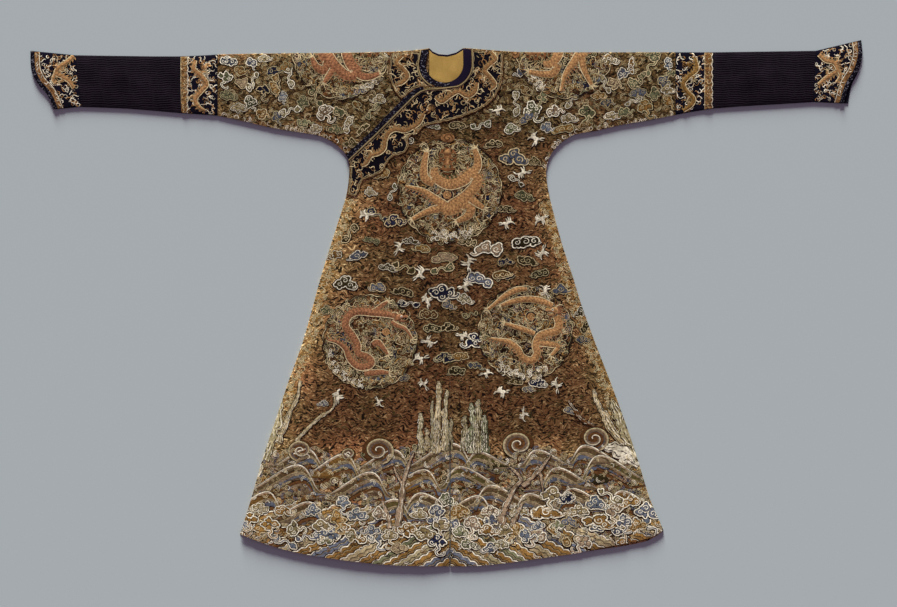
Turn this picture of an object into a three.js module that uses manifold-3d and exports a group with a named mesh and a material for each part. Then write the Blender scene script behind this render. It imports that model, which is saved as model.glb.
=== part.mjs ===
// Chinese roundel robe with horse-hoof cuffs, laid out flat on its back.
//
// Millimetres. +X runs towards the wearer's left sleeve, +Y towards the neck, +Z up from the
// surface it lies on. "right" and "left" are the wearer's. Every wall is cloth; the layers lie on
// each other in the order back, front, overlap, facing, binding, cord.

import * as THREE from "three";
import { mergeVertices } from "three/addons/utils/BufferGeometryUtils.js";
import Module from "manifold-3d";

const wasm = await Module();
wasm.setup();

// ---------------------------------------------------------------- driving sizes

const CLOTH = 2.0; // embroidered silk with its interlining and lining
const TRIM = 1.2; // facings, bindings and the neck lining
const LAYER_GAP = 0.4; // between a layer and the one under it
const SEAM = 0.3; // between two pieces at a seam
const PITCH = CLOTH + LAYER_GAP; // from one body layer to the next
const FOLD_RADIUS = CLOTH + LAYER_GAP / 2; // outside of a fold that turns front into back
const FOLD_STEPS = 6; // facets round a fold
const FOLD_LEG = 3; // straight cloth on each side of a fold's turn
const REACH = 30; // lines are drawn this far past their piece, which is then cut

const CENTRE_X = 10.8; // centre seam, front and back
const SLIT_TOP_Y = -382; // the centre seam is sewn down to here, and open below
const SLIT_GAP = 2;
const SLIT_TAPER = 20; // from the end of the sewing to where the slit is fully open
const UNDERLAP_X = -64; // edge of the hidden inner front
const UNDERLAP_HEM_RISE = 30; // how much shorter the inner front is
const RAMP = { high: -60, low: 0 }; // where the overlap comes down to meet the left front

const CORD_WIDTH = 3;
const CORD_HEIGHT = 1.6;
const CUFF_BINDING = 11; // dark edging of the cuff mouths
const FACING_PAST_CORD = 2; // the facing reaches this far past the closing edge's cord
const CORD_FROM_RING = 3.5; // from the neck ring to the line of the cords
const UNDER_FACING_END_X = -25; // the right facing ends here, under the neck hole
const CORD_TURN_X = 21; // the cord of the closing edge leaves the neck ring here
const LINING_CLEAR = 0.4; // from the lining to the edge of the neck hole

// Height of the underside of body layer n, counted from the back.
const layer = (n) => n * PITCH;
// Height of the underside of what lies on body layer n.
const onLayer = (n) => layer(n) + CLOTH + SEAM;

// ---------------------------------------------------------------- cut of the robe

// Sections across each sleeve, wrist to shoulder: the folded top edge and the underarm edge.
const SLEEVE = {
  right: [
    { x: -1000, top: 670, under: 531 },
    { x: -860, top: 668, under: 526 },
    { x: -718, top: 667, under: 514 },
    { x: -616, top: 672, under: 507 },
    { x: -537, top: 674, under: 490 },
    { x: -465, top: 675, under: 473 },
    { x: -390, top: 676, under: 461 },
    { x: -336, top: 676, under: 451 },
  ],
  left: [
    { x: 998, top: 682, under: 544 },
    { x: 860, top: 680, under: 536 },
    { x: 720, top: 678, under: 526 },
    { x: 619, top: 678, under: 509 },
    { x: 545, top: 678, under: 494 },
    { x: 468, top: 678, under: 481 },
    { x: 400, top: 678, under: 465 },
    { x: 344, top: 678, under: 455 },
  ],
};

// The shoulder fold, from the sleeve's last section to the corner of the neck.
const SHOULDER = {
  right: [
    { x: -197, top: 678 },
    { x: -100, top: 682 },
    { x: -45, top: 689 },
  ],
  left: [
    { x: 197, top: 679 },
    { x: 96, top: 686 },
    { x: 48, top: 690 },
  ],
};

// Sections across the body, armpit to hem corner: the side edge on each side.
const BODY = [
  { y: 424, right: -290, left: 300 },
  { y: 390, right: -264, left: 277 },
  { y: 350, right: -261, left: 270 },
  { y: 300, right: -267, left: 277 },
  { y: 260, right: -278, left: 286 },
  { y: 160, right: -310, left: 313 },
  { y: 70, right: -338, left: 343 },
  { y: 0, right: -357, left: 364 },
  { y: -110, right: -388, left: 404 },
  { y: -210, right: -425, left: 443 },
  { y: -325, right: -463, left: 485 },
  { y: -420, right: -495, left: 517 },
  { y: -525, right: -525, left: 549 },
  { y: -590, right: -545, left: 577 },
];

// The hem, from the centre seam out to each corner: of the back, and of the front that shows.
const HEM = {
  right: [
    { x: CENTRE_X, back: -709, front: -709 },
    { x: -68, back: -708, front: -708 },
    { x: -176, back: -704, front: -704 },
    { x: -316, back: -687, front: -687 },
    { x: -416, back: -669, front: -669 },
    { x: -494, back: -646, front: -646 },
    { x: -556, back: -622, front: -622 },
  ],
  left: [
    { x: CENTRE_X, back: -709, front: -709 },
    { x: 87, back: -708, front: -708 },
    { x: 165, back: -700, front: -700 },
    { x: 281, back: -684, front: -684 },
    { x: 359, back: -673, front: -673 },
    { x: 420, back: -663, front: -659 },
    { x: 475, back: -655, front: -649 },
    { x: 545, back: -640, front: -634 },
    { x: 587, back: -613, front: -611 },
  ],
};

// The closing edge of the overlap, neck to armpit: the line of its cord and its outer edge.
const CLOSURE = [
  { x: 10, cord: 579.5, edge: 583.5 },
  { x: -20, cord: 579.5, edge: 584 },
  { x: -50, cord: 578, edge: 584 },
  { x: -69, cord: 571.5, edge: 583 },
  { x: -88, cord: 557.5, edge: 576 },
  { x: -131, cord: 514, edge: 537 },
  { x: -193, cord: 452, edge: 473 },
  { x: -263, cord: 386, edge: 407 },
  { x: -300, cord: 351, edge: 372 },
];

const CLOSURE_REACH = 400; // the closing edge's lines are drawn this far past their rows

// Neck hole in the front: a half ellipse below, upright sides above that lean in a little.
const NECK = { x: -4, y: 646, halfWidth: 51, depth: 50, leanRight: 9, leanLeft: 1 };
// Widths of the ring of dark binding round the neck.
const RING = { bottom: 11, right: 17, left: 21 };
// The back neckline, which dips between the two corners.
const BACK_NECK = [
  { x: -45, y: 689 },
  { x: -36, y: 680 },
  { x: -20, y: 673 },
  { x: 4, y: 671 },
  { x: 27, y: 677 },
  { x: 38, y: 684 },
  { x: 48, y: 690 },
];
const BACK_BINDING = 5; // width of the binding of the back neckline

// Outer edge of the facing, from the left shoulder round the neck and, in steps like the edge of
// a cloud, along the closing edge to the right side.
const FACING_EDGE = [
  { x: 156, y: 700 },
  { x: 156, y: 679 },
  { x: 154, y: 620 },
  { x: 146, y: 580 },
  { x: 114, y: 536 },
  { x: 43, y: 502 },
  { x: -30, y: 484 },
  { x: -60, y: 477 },
  { x: -76, y: 458 },
  { x: -100, y: 449 },
  { x: -100, y: 425 },
  { x: -112, y: 405 },
  { x: -145, y: 394 },
  { x: -160, y: 373 },
  { x: -172, y: 353 },
  { x: -197, y: 342 },
  { x: -222, y: 333 },
  { x: -231, y: 313 },
  { x: -241, y: 290 },
  { x: -262, y: 291 },
  { x: -300, y: 296 },
];
// Outer edge of the facing on the right of the neck.
const UNDER_FACING_EDGE = [
  { x: -150, y: 700 },
  { x: -150, y: 672 },
  { x: -156, y: 623 },
  { x: -141, y: 576 },
  { x: -120, y: 552 },
];

// Cuff mouths, top to bottom. The back wall may reach past the front one.
const MOUTH = {
  right: [
    { x: -1121, y: 682, backPast: 0 },
    { x: -1119, y: 633, backPast: 0 },
    { x: -1103, y: 595, backPast: 0 },
    { x: -1076, y: 564, backPast: 0 },
    { x: -1058, y: 524, backPast: 0 },
  ],
  left: [
    { x: 1120, y: 711, backPast: 0 },
    { x: 1123, y: 672, backPast: 1 },
    { x: 1110, y: 626, backPast: 3 },
    { x: 1087, y: 587, backPast: 7 },
    { x: 1073, y: 540, backPast: 12 },
  ],
};

// Where one sleeve piece is sewn to the next: at the top fold and at the underarm.
const JOIN_REACH = 60; // how far a join's line is drawn past the sleeve
const JOIN = {
  right: {
    band: { top: -616, under: -616 },
    sleeve: { top: -718, under: -714 },
    cuff: { top: -1000, under: -984 },
  },
  left: {
    band: { top: 619, under: 619 },
    sleeve: { top: 720, under: 721 },
    cuff: { top: 998, under: 990 },
  },
};

// ---------------------------------------------------------------- finishes

const FINISH = {
  brocade: { color: 0x6b4a2c, roughness: 0.7, metalness: 0.05 },
  darkSilk: { color: 0x1c141c, roughness: 0.75, metalness: 0 },
  navyBrocade: { color: 0x2a2030, roughness: 0.7, metalness: 0.05 },
  binding: { color: 0x1d1a2c, roughness: 0.8, metalness: 0 },
  cord: { color: 0x9c8460, roughness: 0.6, metalness: 0 },
  lining: { color: 0xa88a4c, roughness: 0.6, metalness: 0 },
};

// ---------------------------------------------------------------- lines in plan

const point = (x, y) => new THREE.Vector2(x, y);
const SIGN = { right: -1, left: 1 }; // which way a side lies along X
const FAR = 1300; // beyond the robe on every side
const MERGE = 1e-4; // corners nearer than this are one
const THROUGH = { low: -1, high: 20 }; // heights of a cutter that goes right through
const NECK_STEPS = 18; // facets of the neck hole
const MOUTH_STEPS = 4; // facets of a cuff mouth between two rows

// Smooth line through points, with a number of steps between each two.
function smooth(points, steps = 2) {
  return new THREE.SplineCurve(points).getPoints(steps * (points.length - 1));
}

// Unit normals of a line, to the left of travel.
function normals(line) {
  return line.map((_, i) => {
    const before = line[Math.max(i - 1, 0)];
    const after = line[Math.min(i + 1, line.length - 1)];
    const along = after.clone().sub(before).normalize();
    return point(-along.y, along.x);
  });
}

// The line moved to its left.
function offset(line, width) {
  const out = normals(line);
  return line.map((p, i) => p.clone().addScaledVector(out[i], width));
}

// The line made longer at both ends.
function extend(line, length) {
  const [a, b] = [line[0], line[1]];
  const [y, z] = [line.at(-2), line.at(-1)];
  const start = a.clone().addScaledVector(a.clone().sub(b).normalize(), length);
  const end = z.clone().addScaledVector(z.clone().sub(y).normalize(), length);
  return [start, ...line, end];
}

// Sections of the sleeve root, inwards from its seam.
const rootRows = (side) =>
  SLEEVE[side].filter((s) => Math.abs(s.x) <= Math.abs(JOIN[side].band.top));

// Sections of the sleeve proper, from the wrist to its seam.
const sleeveRows = (side) =>
  SLEEVE[side].filter((s) => Math.abs(s.x) >= Math.abs(JOIN[side].band.top));

// Shoulder fold, from the sleeve's first join to the neck corner.
const shoulderLine = (side) =>
  smooth([...rootRows(side), ...SHOULDER[side]].map((s) => point(s.x, s.top)));

// Underarm and side edge, from the sleeve's first join to just above the hem's corner.
function sideLine(side) {
  const corner = HEM[side].at(-1);
  return smooth([
    ...rootRows(side).map((s) => point(s.x, s.under)),
    ...BODY.map((s) => point(s[side], s.y)),
    point(corner.x, corner.back),
  ]).slice(0, -1);
}

// Hem of a wall from the centre seam out to the corner.
const hemLine = (side, wall) => smooth(HEM[side].map((s) => point(s.x, s[wall])));

// The neck hole's edge moved outwards by its widths, from the right corner round to the left.
function neckLine(width = { bottom: 0, right: 0, left: 0 }) {
  const line = [];
  for (let i = 0; i <= NECK_STEPS; i += 1) {
    const turn = Math.PI * (1 + i / NECK_STEPS);
    const side = Math.cos(turn) < 0 ? width.right : width.left;
    const out = width.bottom + (side - width.bottom) * Math.abs(Math.cos(turn));
    line.push(
      point(
        NECK.x + (NECK.halfWidth + out) * Math.cos(turn),
        NECK.y + (NECK.depth + out) * Math.sin(turn),
      ),
    );
  }
  const top = SHOULDER.left.at(-1).top + FOLD_RADIUS;
  line.unshift(point(line[0].x + NECK.leanRight, top));
  line.push(point(line.at(-1).x - NECK.leanLeft, top));
  return line;
}

// The ring's widths made wider all round.
const ringPlus = (more) => ({
  bottom: RING.bottom + more,
  right: RING.right + more,
  left: RING.left + more,
});

// A line of the closing edge, drawn on past the neck and past the side.
const closureLine = (column, up = 0) =>
  extend(smooth(CLOSURE.map((s) => point(s.x, s[column] + up))), CLOSURE_REACH);

// ---------------------------------------------------------------- solids

// Closed solid from a geometry, with its shared corners merged.
function manifold(geometry) {
  geometry.deleteAttribute("normal");
  geometry.deleteAttribute("uv");
  const merged = mergeVertices(geometry, MERGE);
  return new wasm.Manifold(
    new wasm.Mesh({
      numProp: 3,
      vertProperties: new Float32Array(merged.attributes.position.array),
      triVerts: new Uint32Array(merged.index.array),
    }),
  );
}

// Upright solid on a plan, between two heights.
function prism(plan, low = THROUGH.low, high = THROUGH.high) {
  const shape = new THREE.Shape(plan);
  const geometry = new THREE.ExtrudeGeometry(shape, { depth: high - low, bevelEnabled: false });
  geometry.translate(0, 0, low);
  return manifold(geometry);
}

const box = (x0, y0, x1, y1, low, high) =>
  prism([point(x0, y0), point(x1, y0), point(x1, y1), point(x0, y1)], low, high);

// Everything between two heights.
const slab = (low, high) => box(-FAR, -FAR, FAR, FAR, low, high);

// Solid through equal closed sections of Vector3, capped at both ends as the flat section is.
function loft(sections, flatSection) {
  const count = flatSection.length;
  const index = [];
  for (let s = 0; s + 1 < sections.length; s += 1) {
    for (let i = 0; i < count; i += 1) {
      const a = s * count + i;
      const b = s * count + ((i + 1) % count);
      index.push(a, b, b + count, a, b + count, a + count);
    }
  }
  const last = (sections.length - 1) * count;
  for (const [i, j, k] of THREE.ShapeUtils.triangulateShape(flatSection, [])) {
    index.push(i, k, j, last + i, last + j, last + k);
  }
  const geometry = new THREE.BufferGeometry();
  geometry.setAttribute(
    "position",
    new THREE.Float32BufferAttribute(sections.flat().flatMap((p) => [p.x, p.y, p.z]), 3),
  );
  geometry.setIndex(index);
  const solid = manifold(geometry);
  return solid.volume() > 0 ? solid : manifold(turnedOut(geometry));
}

// The same faces, each the other way round.
function turnedOut(geometry) {
  const index = Array.from(geometry.index.array);
  for (let i = 0; i < index.length; i += 3) [index[i], index[i + 1]] = [index[i + 1], index[i]];
  geometry.setIndex(index);
  return geometry;
}

// A folded edge that runs across the robe: its outside faces up (1) or down (-1) the robe.
const foldAlong = (line, up) => ({
  line: extend(line, REACH),
  outward: Math.sign(normals(line)[0].y) * up,
});

// Section of a fold: distance out from the turn's centre, and height. A thick C, open inwards.
function foldSection() {
  const turn = (radius, from, to) =>
    Array.from({ length: FOLD_STEPS + 1 }, (_, i) => {
      const angle = from + ((to - from) * i) / FOLD_STEPS;
      return point(radius * Math.cos(angle), radius * Math.sin(angle));
    });
  const quarter = Math.PI / 2;
  const inside = LAYER_GAP / 2;
  return [
    point(-FOLD_LEG, -FOLD_RADIUS),
    ...turn(FOLD_RADIUS, -quarter, quarter),
    point(-FOLD_LEG, FOLD_RADIUS),
    point(-FOLD_LEG, inside),
    ...turn(inside, quarter, -quarter),
    point(-FOLD_LEG, -inside),
  ];
}

// The turn of cloth along a folded edge. outward is 1 where the outside is left of travel.
function foldTurn({ line, outward }) {
  const section = foldSection();
  const out = normals(line);
  const sections = line.map((p, i) =>
    section.map((s) => {
      const at = p.clone().addScaledVector(out[i], outward * (s.x - FOLD_RADIUS));
      return new THREE.Vector3(at.x, at.y, s.y + FOLD_RADIUS);
    }),
  );
  return loft(sections, section);
}

// Everything beyond the centre of a fold's turn.
function beyondFold({ line, outward }) {
  const near = offset(line, -outward * FOLD_RADIUS);
  const far = offset(line, outward * REACH);
  return prism([...near, ...far.reverse()]);
}

// Back and front walls of the plans, one cloth round each folded edge.
function foldedCloth({ back, front, folds }) {
  const middle = FOLD_RADIUS;
  const cut = back
    .intersect(slab(THROUGH.low, middle))
    .add(front.intersect(slab(middle, THROUGH.high)));
  const wall = (plan, low) =>
    folds.reduce((a, f) => a.subtract(beyondFold(f)), plan.intersect(slab(low, low + CLOTH)));
  const turns = folds.map((f) => foldTurn(f).intersect(cut));
  return [wall(back, 0), wall(front, layer(1)), ...turns].reduce((a, b) => a.add(b));
}

// Sheet with its underside at the overlap's height plus a lift: high over the inner front, down
// the ramp, then level with the left front.
function overlapSheet(lift, thickness) {
  const high = layer(2) + lift;
  const low = layer(1) + lift;
  const under = [
    point(-FAR, high),
    point(RAMP.high, high),
    point(RAMP.low, low),
    point(FAR, low),
  ];
  const over = under.map((p) => point(p.x, p.y + thickness)).reverse();
  const section = [...under, ...over];
  const at = (y) => section.map((p) => new THREE.Vector3(p.x, y, p.y));
  return loft([at(-FAR), at(FAR)], section);
}

// Mesh of a solid with its finish.
function piece(name, solid, finish) {
  const { numProp, vertProperties, triVerts } = solid.getMesh();
  const positions = new Float32Array(vertProperties.length / numProp * 3);
  for (let i = 0; i * numProp < vertProperties.length; i += 1) {
    positions.set(vertProperties.subarray(i * numProp, i * numProp + 3), 3 * i);
  }
  const geometry = new THREE.BufferGeometry();
  geometry.setAttribute("position", new THREE.BufferAttribute(positions, 3));
  geometry.setIndex(new THREE.BufferAttribute(new Uint32Array(triVerts), 1));
  geometry.computeVertexNormals();
  const mesh = new THREE.Mesh(geometry, new THREE.MeshStandardMaterial(finish));
  mesh.name = name;
  return mesh;
}

// ---------------------------------------------------------------- plans

// Plan of a band of one width, centred on a line.
const strip = (line, width) =>
  prism([...offset(line, width / 2), ...offset(line, -width / 2).reverse()]);

// Plan of everything below a line that runs from +X to -X.
const below = (line) => prism([...line, point(line.at(-1).x, -FAR), point(line[0].x, -FAR)]);

// The gap between the halves: a seam, and a slit from its top down.
function centreGap() {
  const edge = [
    { y: FAR, half: SEAM / 2 },
    { y: SLIT_TOP_Y, half: SEAM / 2 },
    { y: SLIT_TOP_Y - SLIT_TAPER, half: SLIT_GAP / 2 },
    { y: -FAR, half: SLIT_GAP / 2 },
  ];
  return prism([
    ...edge.map((e) => point(CENTRE_X - e.half, e.y)),
    ...edge.map((e) => point(CENTRE_X + e.half, e.y)).reverse(),
  ]);
}

// One half of the robe from its sleeve seam to the centre seam, with a wall's hem.
function halfPlan(side, wall) {
  const top = SHOULDER[side].at(-1).top;
  const whole = prism([
    ...shoulderLine(side),
    point(CENTRE_X, top),
    ...hemLine(side, wall),
    ...sideLine(side).reverse(),
  ]);
  const x = JOIN[side].band.top;
  const armHole = strip([point(x, FAR), point(x, 0)], SEAM);
  return whole.subtract(centreGap()).subtract(armHole);
}

const neckHole = () => prism(neckLine());
const backNeck = () =>
  prism([
    ...BACK_NECK.map((s) => point(s.x, s.y)),
    point(BACK_NECK.at(-1).x, FAR),
    point(BACK_NECK[0].x, FAR),
  ]);
const underClosure = () => below(closureLine("edge"));

// ---------------------------------------------------------------- body

const shoulderFold = (side) => foldAlong(shoulderLine(side), 1);

function rightBody() {
  const overlapOnly = below(closureLine("edge", SEAM)).intersect(
    box(UNDERLAP_X, -FAR, FAR, FAR, THROUGH.low, THROUGH.high),
  );
  const back = halfPlan("right", "back").subtract(backNeck());
  const shorter = below(
    extend(hemLine("right", "front").map((p) => point(p.x, p.y + UNDERLAP_HEM_RISE)), REACH),
  );
  const front = halfPlan("right", "front")
    .subtract(neckHole())
    .subtract(overlapOnly)
    .subtract(shorter);
  return foldedCloth({ back, front, folds: [shoulderFold("right")] });
}

function leftBody() {
  const back = halfPlan("left", "back").subtract(backNeck());
  const front = halfPlan("left", "front").subtract(neckHole());
  return foldedCloth({ back, front, folds: [shoulderFold("left")] });
}

const overlap = () =>
  overlapSheet(0, CLOTH).intersect(halfPlan("right", "front")).intersect(underClosure());

// ---------------------------------------------------------------- sleeves

// The line of a join from above the sleeve to below it, moved outwards along the sleeve.
function joinLine(side, name, out) {
  const { top, under } = JOIN[side][name];
  const row = SLEEVE[side].find((r) => r.x === top);
  const shift = SIGN[side] * out;
  return extend([point(top + shift, row.top), point(under + shift, row.under)], JOIN_REACH);
}

// A part of the tube of the sleeve, from one join to the next, folded at its top and underarm.
function sleevePiece(side, start, end) {
  const top = smooth(sleeveRows(side).map((s) => point(s.x, s.top)));
  const under = smooth(sleeveRows(side).map((s) => point(s.x, s.under)));
  const tube = prism([...extend(top, REACH), ...extend(under, REACH).reverse()]);
  const inner = joinLine(side, start, SEAM / 2);
  const outer = joinLine(side, end, -SEAM / 2);
  const plan = tube.intersect(prism([...inner, ...outer.reverse()]));
  return foldedCloth({ back: plan, front: plan, folds: [foldAlong(top, 1), foldAlong(under, -1)] });
}

// A cuff's mouth, of its front wall or of the back wall that may reach past it.
const mouthLine = (side, wall) =>
  smooth(
    MOUTH[side].map((s) => point(s.x + (wall === "back" ? SIGN[side] * s.backPast : 0), s.y)),
    MOUTH_STEPS,
  );

// The two corners of a cuff at its join.
function cuffCorners(side) {
  const row = SLEEVE[side][0];
  const { top, under } = JOIN[side].cuff;
  const shift = (SIGN[side] * SEAM) / 2;
  return {
    joinTop: point(top + shift, row.top),
    joinUnder: point(under + shift, row.under),
  };
}

function cuffPlan(side, wall) {
  const { joinTop, joinUnder } = cuffCorners(side);
  return prism([joinTop, ...mouthLine(side, wall), joinUnder]);
}

function cuff(side) {
  const { joinTop, joinUnder } = cuffCorners(side);
  const folds = [
    foldAlong([joinTop, mouthLine(side, "front")[0]], 1),
    foldAlong([joinUnder, mouthLine(side, "front").at(-1)], -1),
  ];
  return foldedCloth({ back: cuffPlan(side, "back"), front: cuffPlan(side, "front"), folds });
}

// Dark edging on the front of a cuff, along its mouth.
function cuffBinding(side) {
  const mouth = extend(mouthLine(side, "front"), REACH);
  const inward = Math.sign(normals(mouth)[0].x) === SIGN[side] ? -1 : 1;
  const band = prism([...mouth, ...offset(mouth, inward * CUFF_BINDING).reverse()]);
  const { joinTop } = cuffCorners(side);
  const top = foldAlong([joinTop, mouthLine(side, "front")[0]], 1);
  return cuffPlan(side, "front")
    .intersect(band)
    .subtract(beyondFold(top))
    .intersect(slab(onLayer(1), onLayer(1) + TRIM));
}

// ---------------------------------------------------------------- neck

// Plan of the front on one side, up to where it turns over the shoulder.
const frontPlan = (side) => halfPlan(side, "front").subtract(beyondFold(shoulderFold(side)));
const ringPlan = () => prism(neckLine(RING));
const clearOfRing = () => prism(neckLine(ringPlus(SEAM)));
const onFront = () => slab(onLayer(1), onLayer(1) + TRIM);

const neckBinding = (side) =>
  ringPlan().subtract(neckHole()).intersect(frontPlan(side)).intersect(onFront());

// Everything under the upper edge of the facing on the overlap.
const underFacingTop = () => below(closureLine("cord", FACING_PAST_CORD));

// Plan of the fronts with the centre seam filled in, for what crosses it under the neck.
function acrossCentre() {
  const seam = box(CENTRE_X - SEAM, 0, CENTRE_X + SEAM, NECK.y, THROUGH.low, THROUGH.high);
  return frontPlan("left").add(frontPlan("right")).add(seam);
}

function collarFacing() {
  const start = FACING_EDGE[0];
  const end = FACING_EDGE.at(-1);
  const inside = prism([
    ...smooth(FACING_EDGE.map((s) => point(s.x, s.y))),
    point(end.x, FAR),
    point(start.x, FAR),
  ]);
  const leftOfCentre = box(CENTRE_X, -FAR, FAR, FAR, THROUGH.low, THROUGH.high);
  const plan = leftOfCentre.subtract(clearOfRing()).add(underFacingTop());
  return overlapSheet(CLOTH + SEAM, TRIM).intersect(inside).intersect(acrossCentre()).intersect(plan);
}

function collarFacingUnder() {
  const inside = prism([
    ...smooth(UNDER_FACING_EDGE.map((s) => point(s.x, s.y))),
    point(UNDER_FACING_END_X, UNDER_FACING_EDGE.at(-1).y),
    point(UNDER_FACING_END_X, FAR),
  ]);
  return inside
    .intersect(frontPlan("right"))
    .subtract(clearOfRing())
    .subtract(below(closureLine("edge", SEAM)))
    .intersect(onFront());
}

// Narrow dark edging between the cord and the edge of the overlap, over the inner front.
function closureBinding() {
  const low = onLayer(2);
  return frontPlan("right")
    .intersect(underClosure())
    .subtract(below(closureLine("cord", FACING_PAST_CORD + SEAM)))
    .intersect(box(-FAR, -FAR, RAMP.high - SEAM, FAR, low, low + TRIM));
}

// Line of the cord beside the neck ring, from the left shoulder to the right one.
const besideRing = () => neckLine(ringPlus(CORD_FROM_RING)).reverse();

function closureCord() {
  const round = besideRing().filter((p) => p.x > CORD_TURN_X);
  const line = smooth([...round, ...CLOSURE.slice(1).map((s) => point(s.x, s.cord))], 1);
  return overlapSheet(CLOTH + SEAM + TRIM + SEAM, CORD_HEIGHT)
    .intersect(strip(line, CORD_WIDTH))
    .intersect(acrossCentre());
}

function neckCord() {
  const line = besideRing().filter((p) => p.x < UNDER_FACING_END_X - CORD_WIDTH);
  const low = onLayer(1) + TRIM + SEAM;
  return strip(line, CORD_WIDTH).intersect(frontPlan("right")).intersect(slab(low, low + CORD_HEIGHT));
}

// What lies on the back, seen through the neck hole.
const throughNeck = () =>
  prism(offset(neckLine(), LINING_CLEAR)).intersect(slab(onLayer(0), onLayer(0) + TRIM));

const backNeckEdge = (down) => BACK_NECK.map((s) => point(s.x, s.y - down)).reverse();

const backNeckBinding = () =>
  throughNeck().intersect(below(backNeckEdge(0))).subtract(below(backNeckEdge(BACK_BINDING)));

const neckLining = () => throughNeck().intersect(below(backNeckEdge(BACK_BINDING + SEAM)));

// ---------------------------------------------------------------- the robe

const robe = new THREE.Group();
const sew = (name, solid, finish) => robe.add(piece(name, solid, finish));

sew("right_body", rightBody(), FINISH.brocade);
sew("left_body", leftBody(), FINISH.brocade);
sew("overlap", overlap(), FINISH.brocade);
for (const side of ["right", "left"]) {
  sew(`band_${side}`, sleevePiece(side, "band", "sleeve"), FINISH.navyBrocade);
  sew(`lower_sleeve_${side}`, sleevePiece(side, "sleeve", "cuff"), FINISH.darkSilk);
  sew(`cuff_${side}`, cuff(side), FINISH.navyBrocade);
  sew(`cuff_binding_${side}`, cuffBinding(side), FINISH.binding);
  sew(`neck_binding_${side}`, neckBinding(side), FINISH.binding);
}
sew("collar_facing", collarFacing(), FINISH.navyBrocade);
sew("collar_facing_under", collarFacingUnder(), FINISH.navyBrocade);
sew("closure_binding", closureBinding(), FINISH.binding);
sew("closure_cord", closureCord(), FINISH.cord);
sew("neck_cord", neckCord(), FINISH.cord);
sew("back_neck_binding", backNeckBinding(), FINISH.binding);
sew("neck_lining", neckLining(), FINISH.lining);

export default robe;
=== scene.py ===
"""A Chinese festive court robe with dragon roundels, laid out flat.

The cloth pieces are thin shells on the frame's own solids, lifted into soft creases. The woven and
embroidered figures are low relief of their own: every line is a ribbon of thread and every field a
slightly domed plate, laid on the cloth that carries it and cut at that cloth's edge.

Metres throughout, except that figures and heights of thread are given in millimetres. +X runs to
the wearer's left sleeve, +Y to the neck, +Z out of the front.
"""

import logging
import math
from collections.abc import Callable, Iterable, Sequence
from dataclasses import dataclass, replace
from enum import Enum

import bmesh
import bpy
import numpy as np
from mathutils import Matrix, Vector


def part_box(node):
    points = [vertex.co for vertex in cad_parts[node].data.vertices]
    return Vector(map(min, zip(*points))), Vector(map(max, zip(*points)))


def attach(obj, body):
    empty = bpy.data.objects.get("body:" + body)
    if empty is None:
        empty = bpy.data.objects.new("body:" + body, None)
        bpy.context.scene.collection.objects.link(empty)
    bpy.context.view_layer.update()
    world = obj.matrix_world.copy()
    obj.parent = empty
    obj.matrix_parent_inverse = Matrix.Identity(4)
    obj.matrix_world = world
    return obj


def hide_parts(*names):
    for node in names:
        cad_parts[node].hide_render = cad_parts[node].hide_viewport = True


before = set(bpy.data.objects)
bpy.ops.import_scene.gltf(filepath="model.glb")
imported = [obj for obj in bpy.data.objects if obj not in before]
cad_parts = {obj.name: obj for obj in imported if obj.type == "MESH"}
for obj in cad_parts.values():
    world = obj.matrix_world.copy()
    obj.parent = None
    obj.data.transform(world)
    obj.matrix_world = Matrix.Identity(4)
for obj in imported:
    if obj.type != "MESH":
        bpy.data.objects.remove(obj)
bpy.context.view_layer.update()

log = logging.getLogger("robe")
MM = 0.001
BACK_TOP = 2.0 * MM  # upper face of the back
FRONT_LOW = 2.4 * MM  # lower face of the front
Array = np.ndarray
Field = Callable[[Array], Array]  # from points (n, 2) to numbers (n,), distances if not said otherwise
Chance = np.random.Generator
Solid = bpy.types.Object
Material = bpy.types.Material
Tree = bpy.types.NodeTree
Socket = bpy.types.NodeSocket
Colour = Socket | tuple[float, ...]  # a socket, or red, green, blue and 1, as linear light


# ---------------------------------------------------------------- threads


class Thread(Enum):
    """A colour of silk or metal thread: its dark and its light shade, as sRGB."""

    CREAM = ("8d8168", "eae0c6")
    BONE = ("746848", "b4a67e")
    BARK = ("1a110b", "33231a")
    NIGHT = ("08070c", "1b1724")
    NAVY = ("11111d", "2c3048")
    SLATE = ("30333c", "6d717c")
    ICE = ("5c636c", "a9aeb2")
    SAGE = ("3d3e28", "7f7f5e")
    MOSS = ("221c10", "54492a")
    OCHRE = ("543a1c", "9c7640")
    GOLD = ("543a24", "a0784c")
    COPPER = ("6c4429", "c29562")
    EMBER = ("5a3424", "b07c56")
    FAWN = ("58462f", "ab9276")
    RUST = ("422a17", "7f5632")
    SAND = ("7d6c48", "c8b48a")


def linear(code: str) -> tuple[float, ...]:
    """Linear colour of six hex digits, each byte c undone as ((c + 0.055) / 1.055)^2.4."""
    parts = np.array([int(code[i : i + 2], 16) / 255 for i in (0, 2, 4)])
    return tuple(np.where(parts <= 0.04045, parts / 12.92, ((parts + 0.055) / 1.055) ** 2.4))


CREAM, BONE, BARK, NIGHT, NAVY, SLATE, ICE, SAGE, MOSS, OCHRE, GOLD, COPPER, EMBER, FAWN, RUST, SAND = Thread
THREAD_ROW = {thread: row for row, thread in enumerate(Thread)}
SHADES = np.array([[linear(code) for code in thread.value] for thread in Thread])


# ---------------------------------------------------------------- lines and patches in plan


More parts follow.
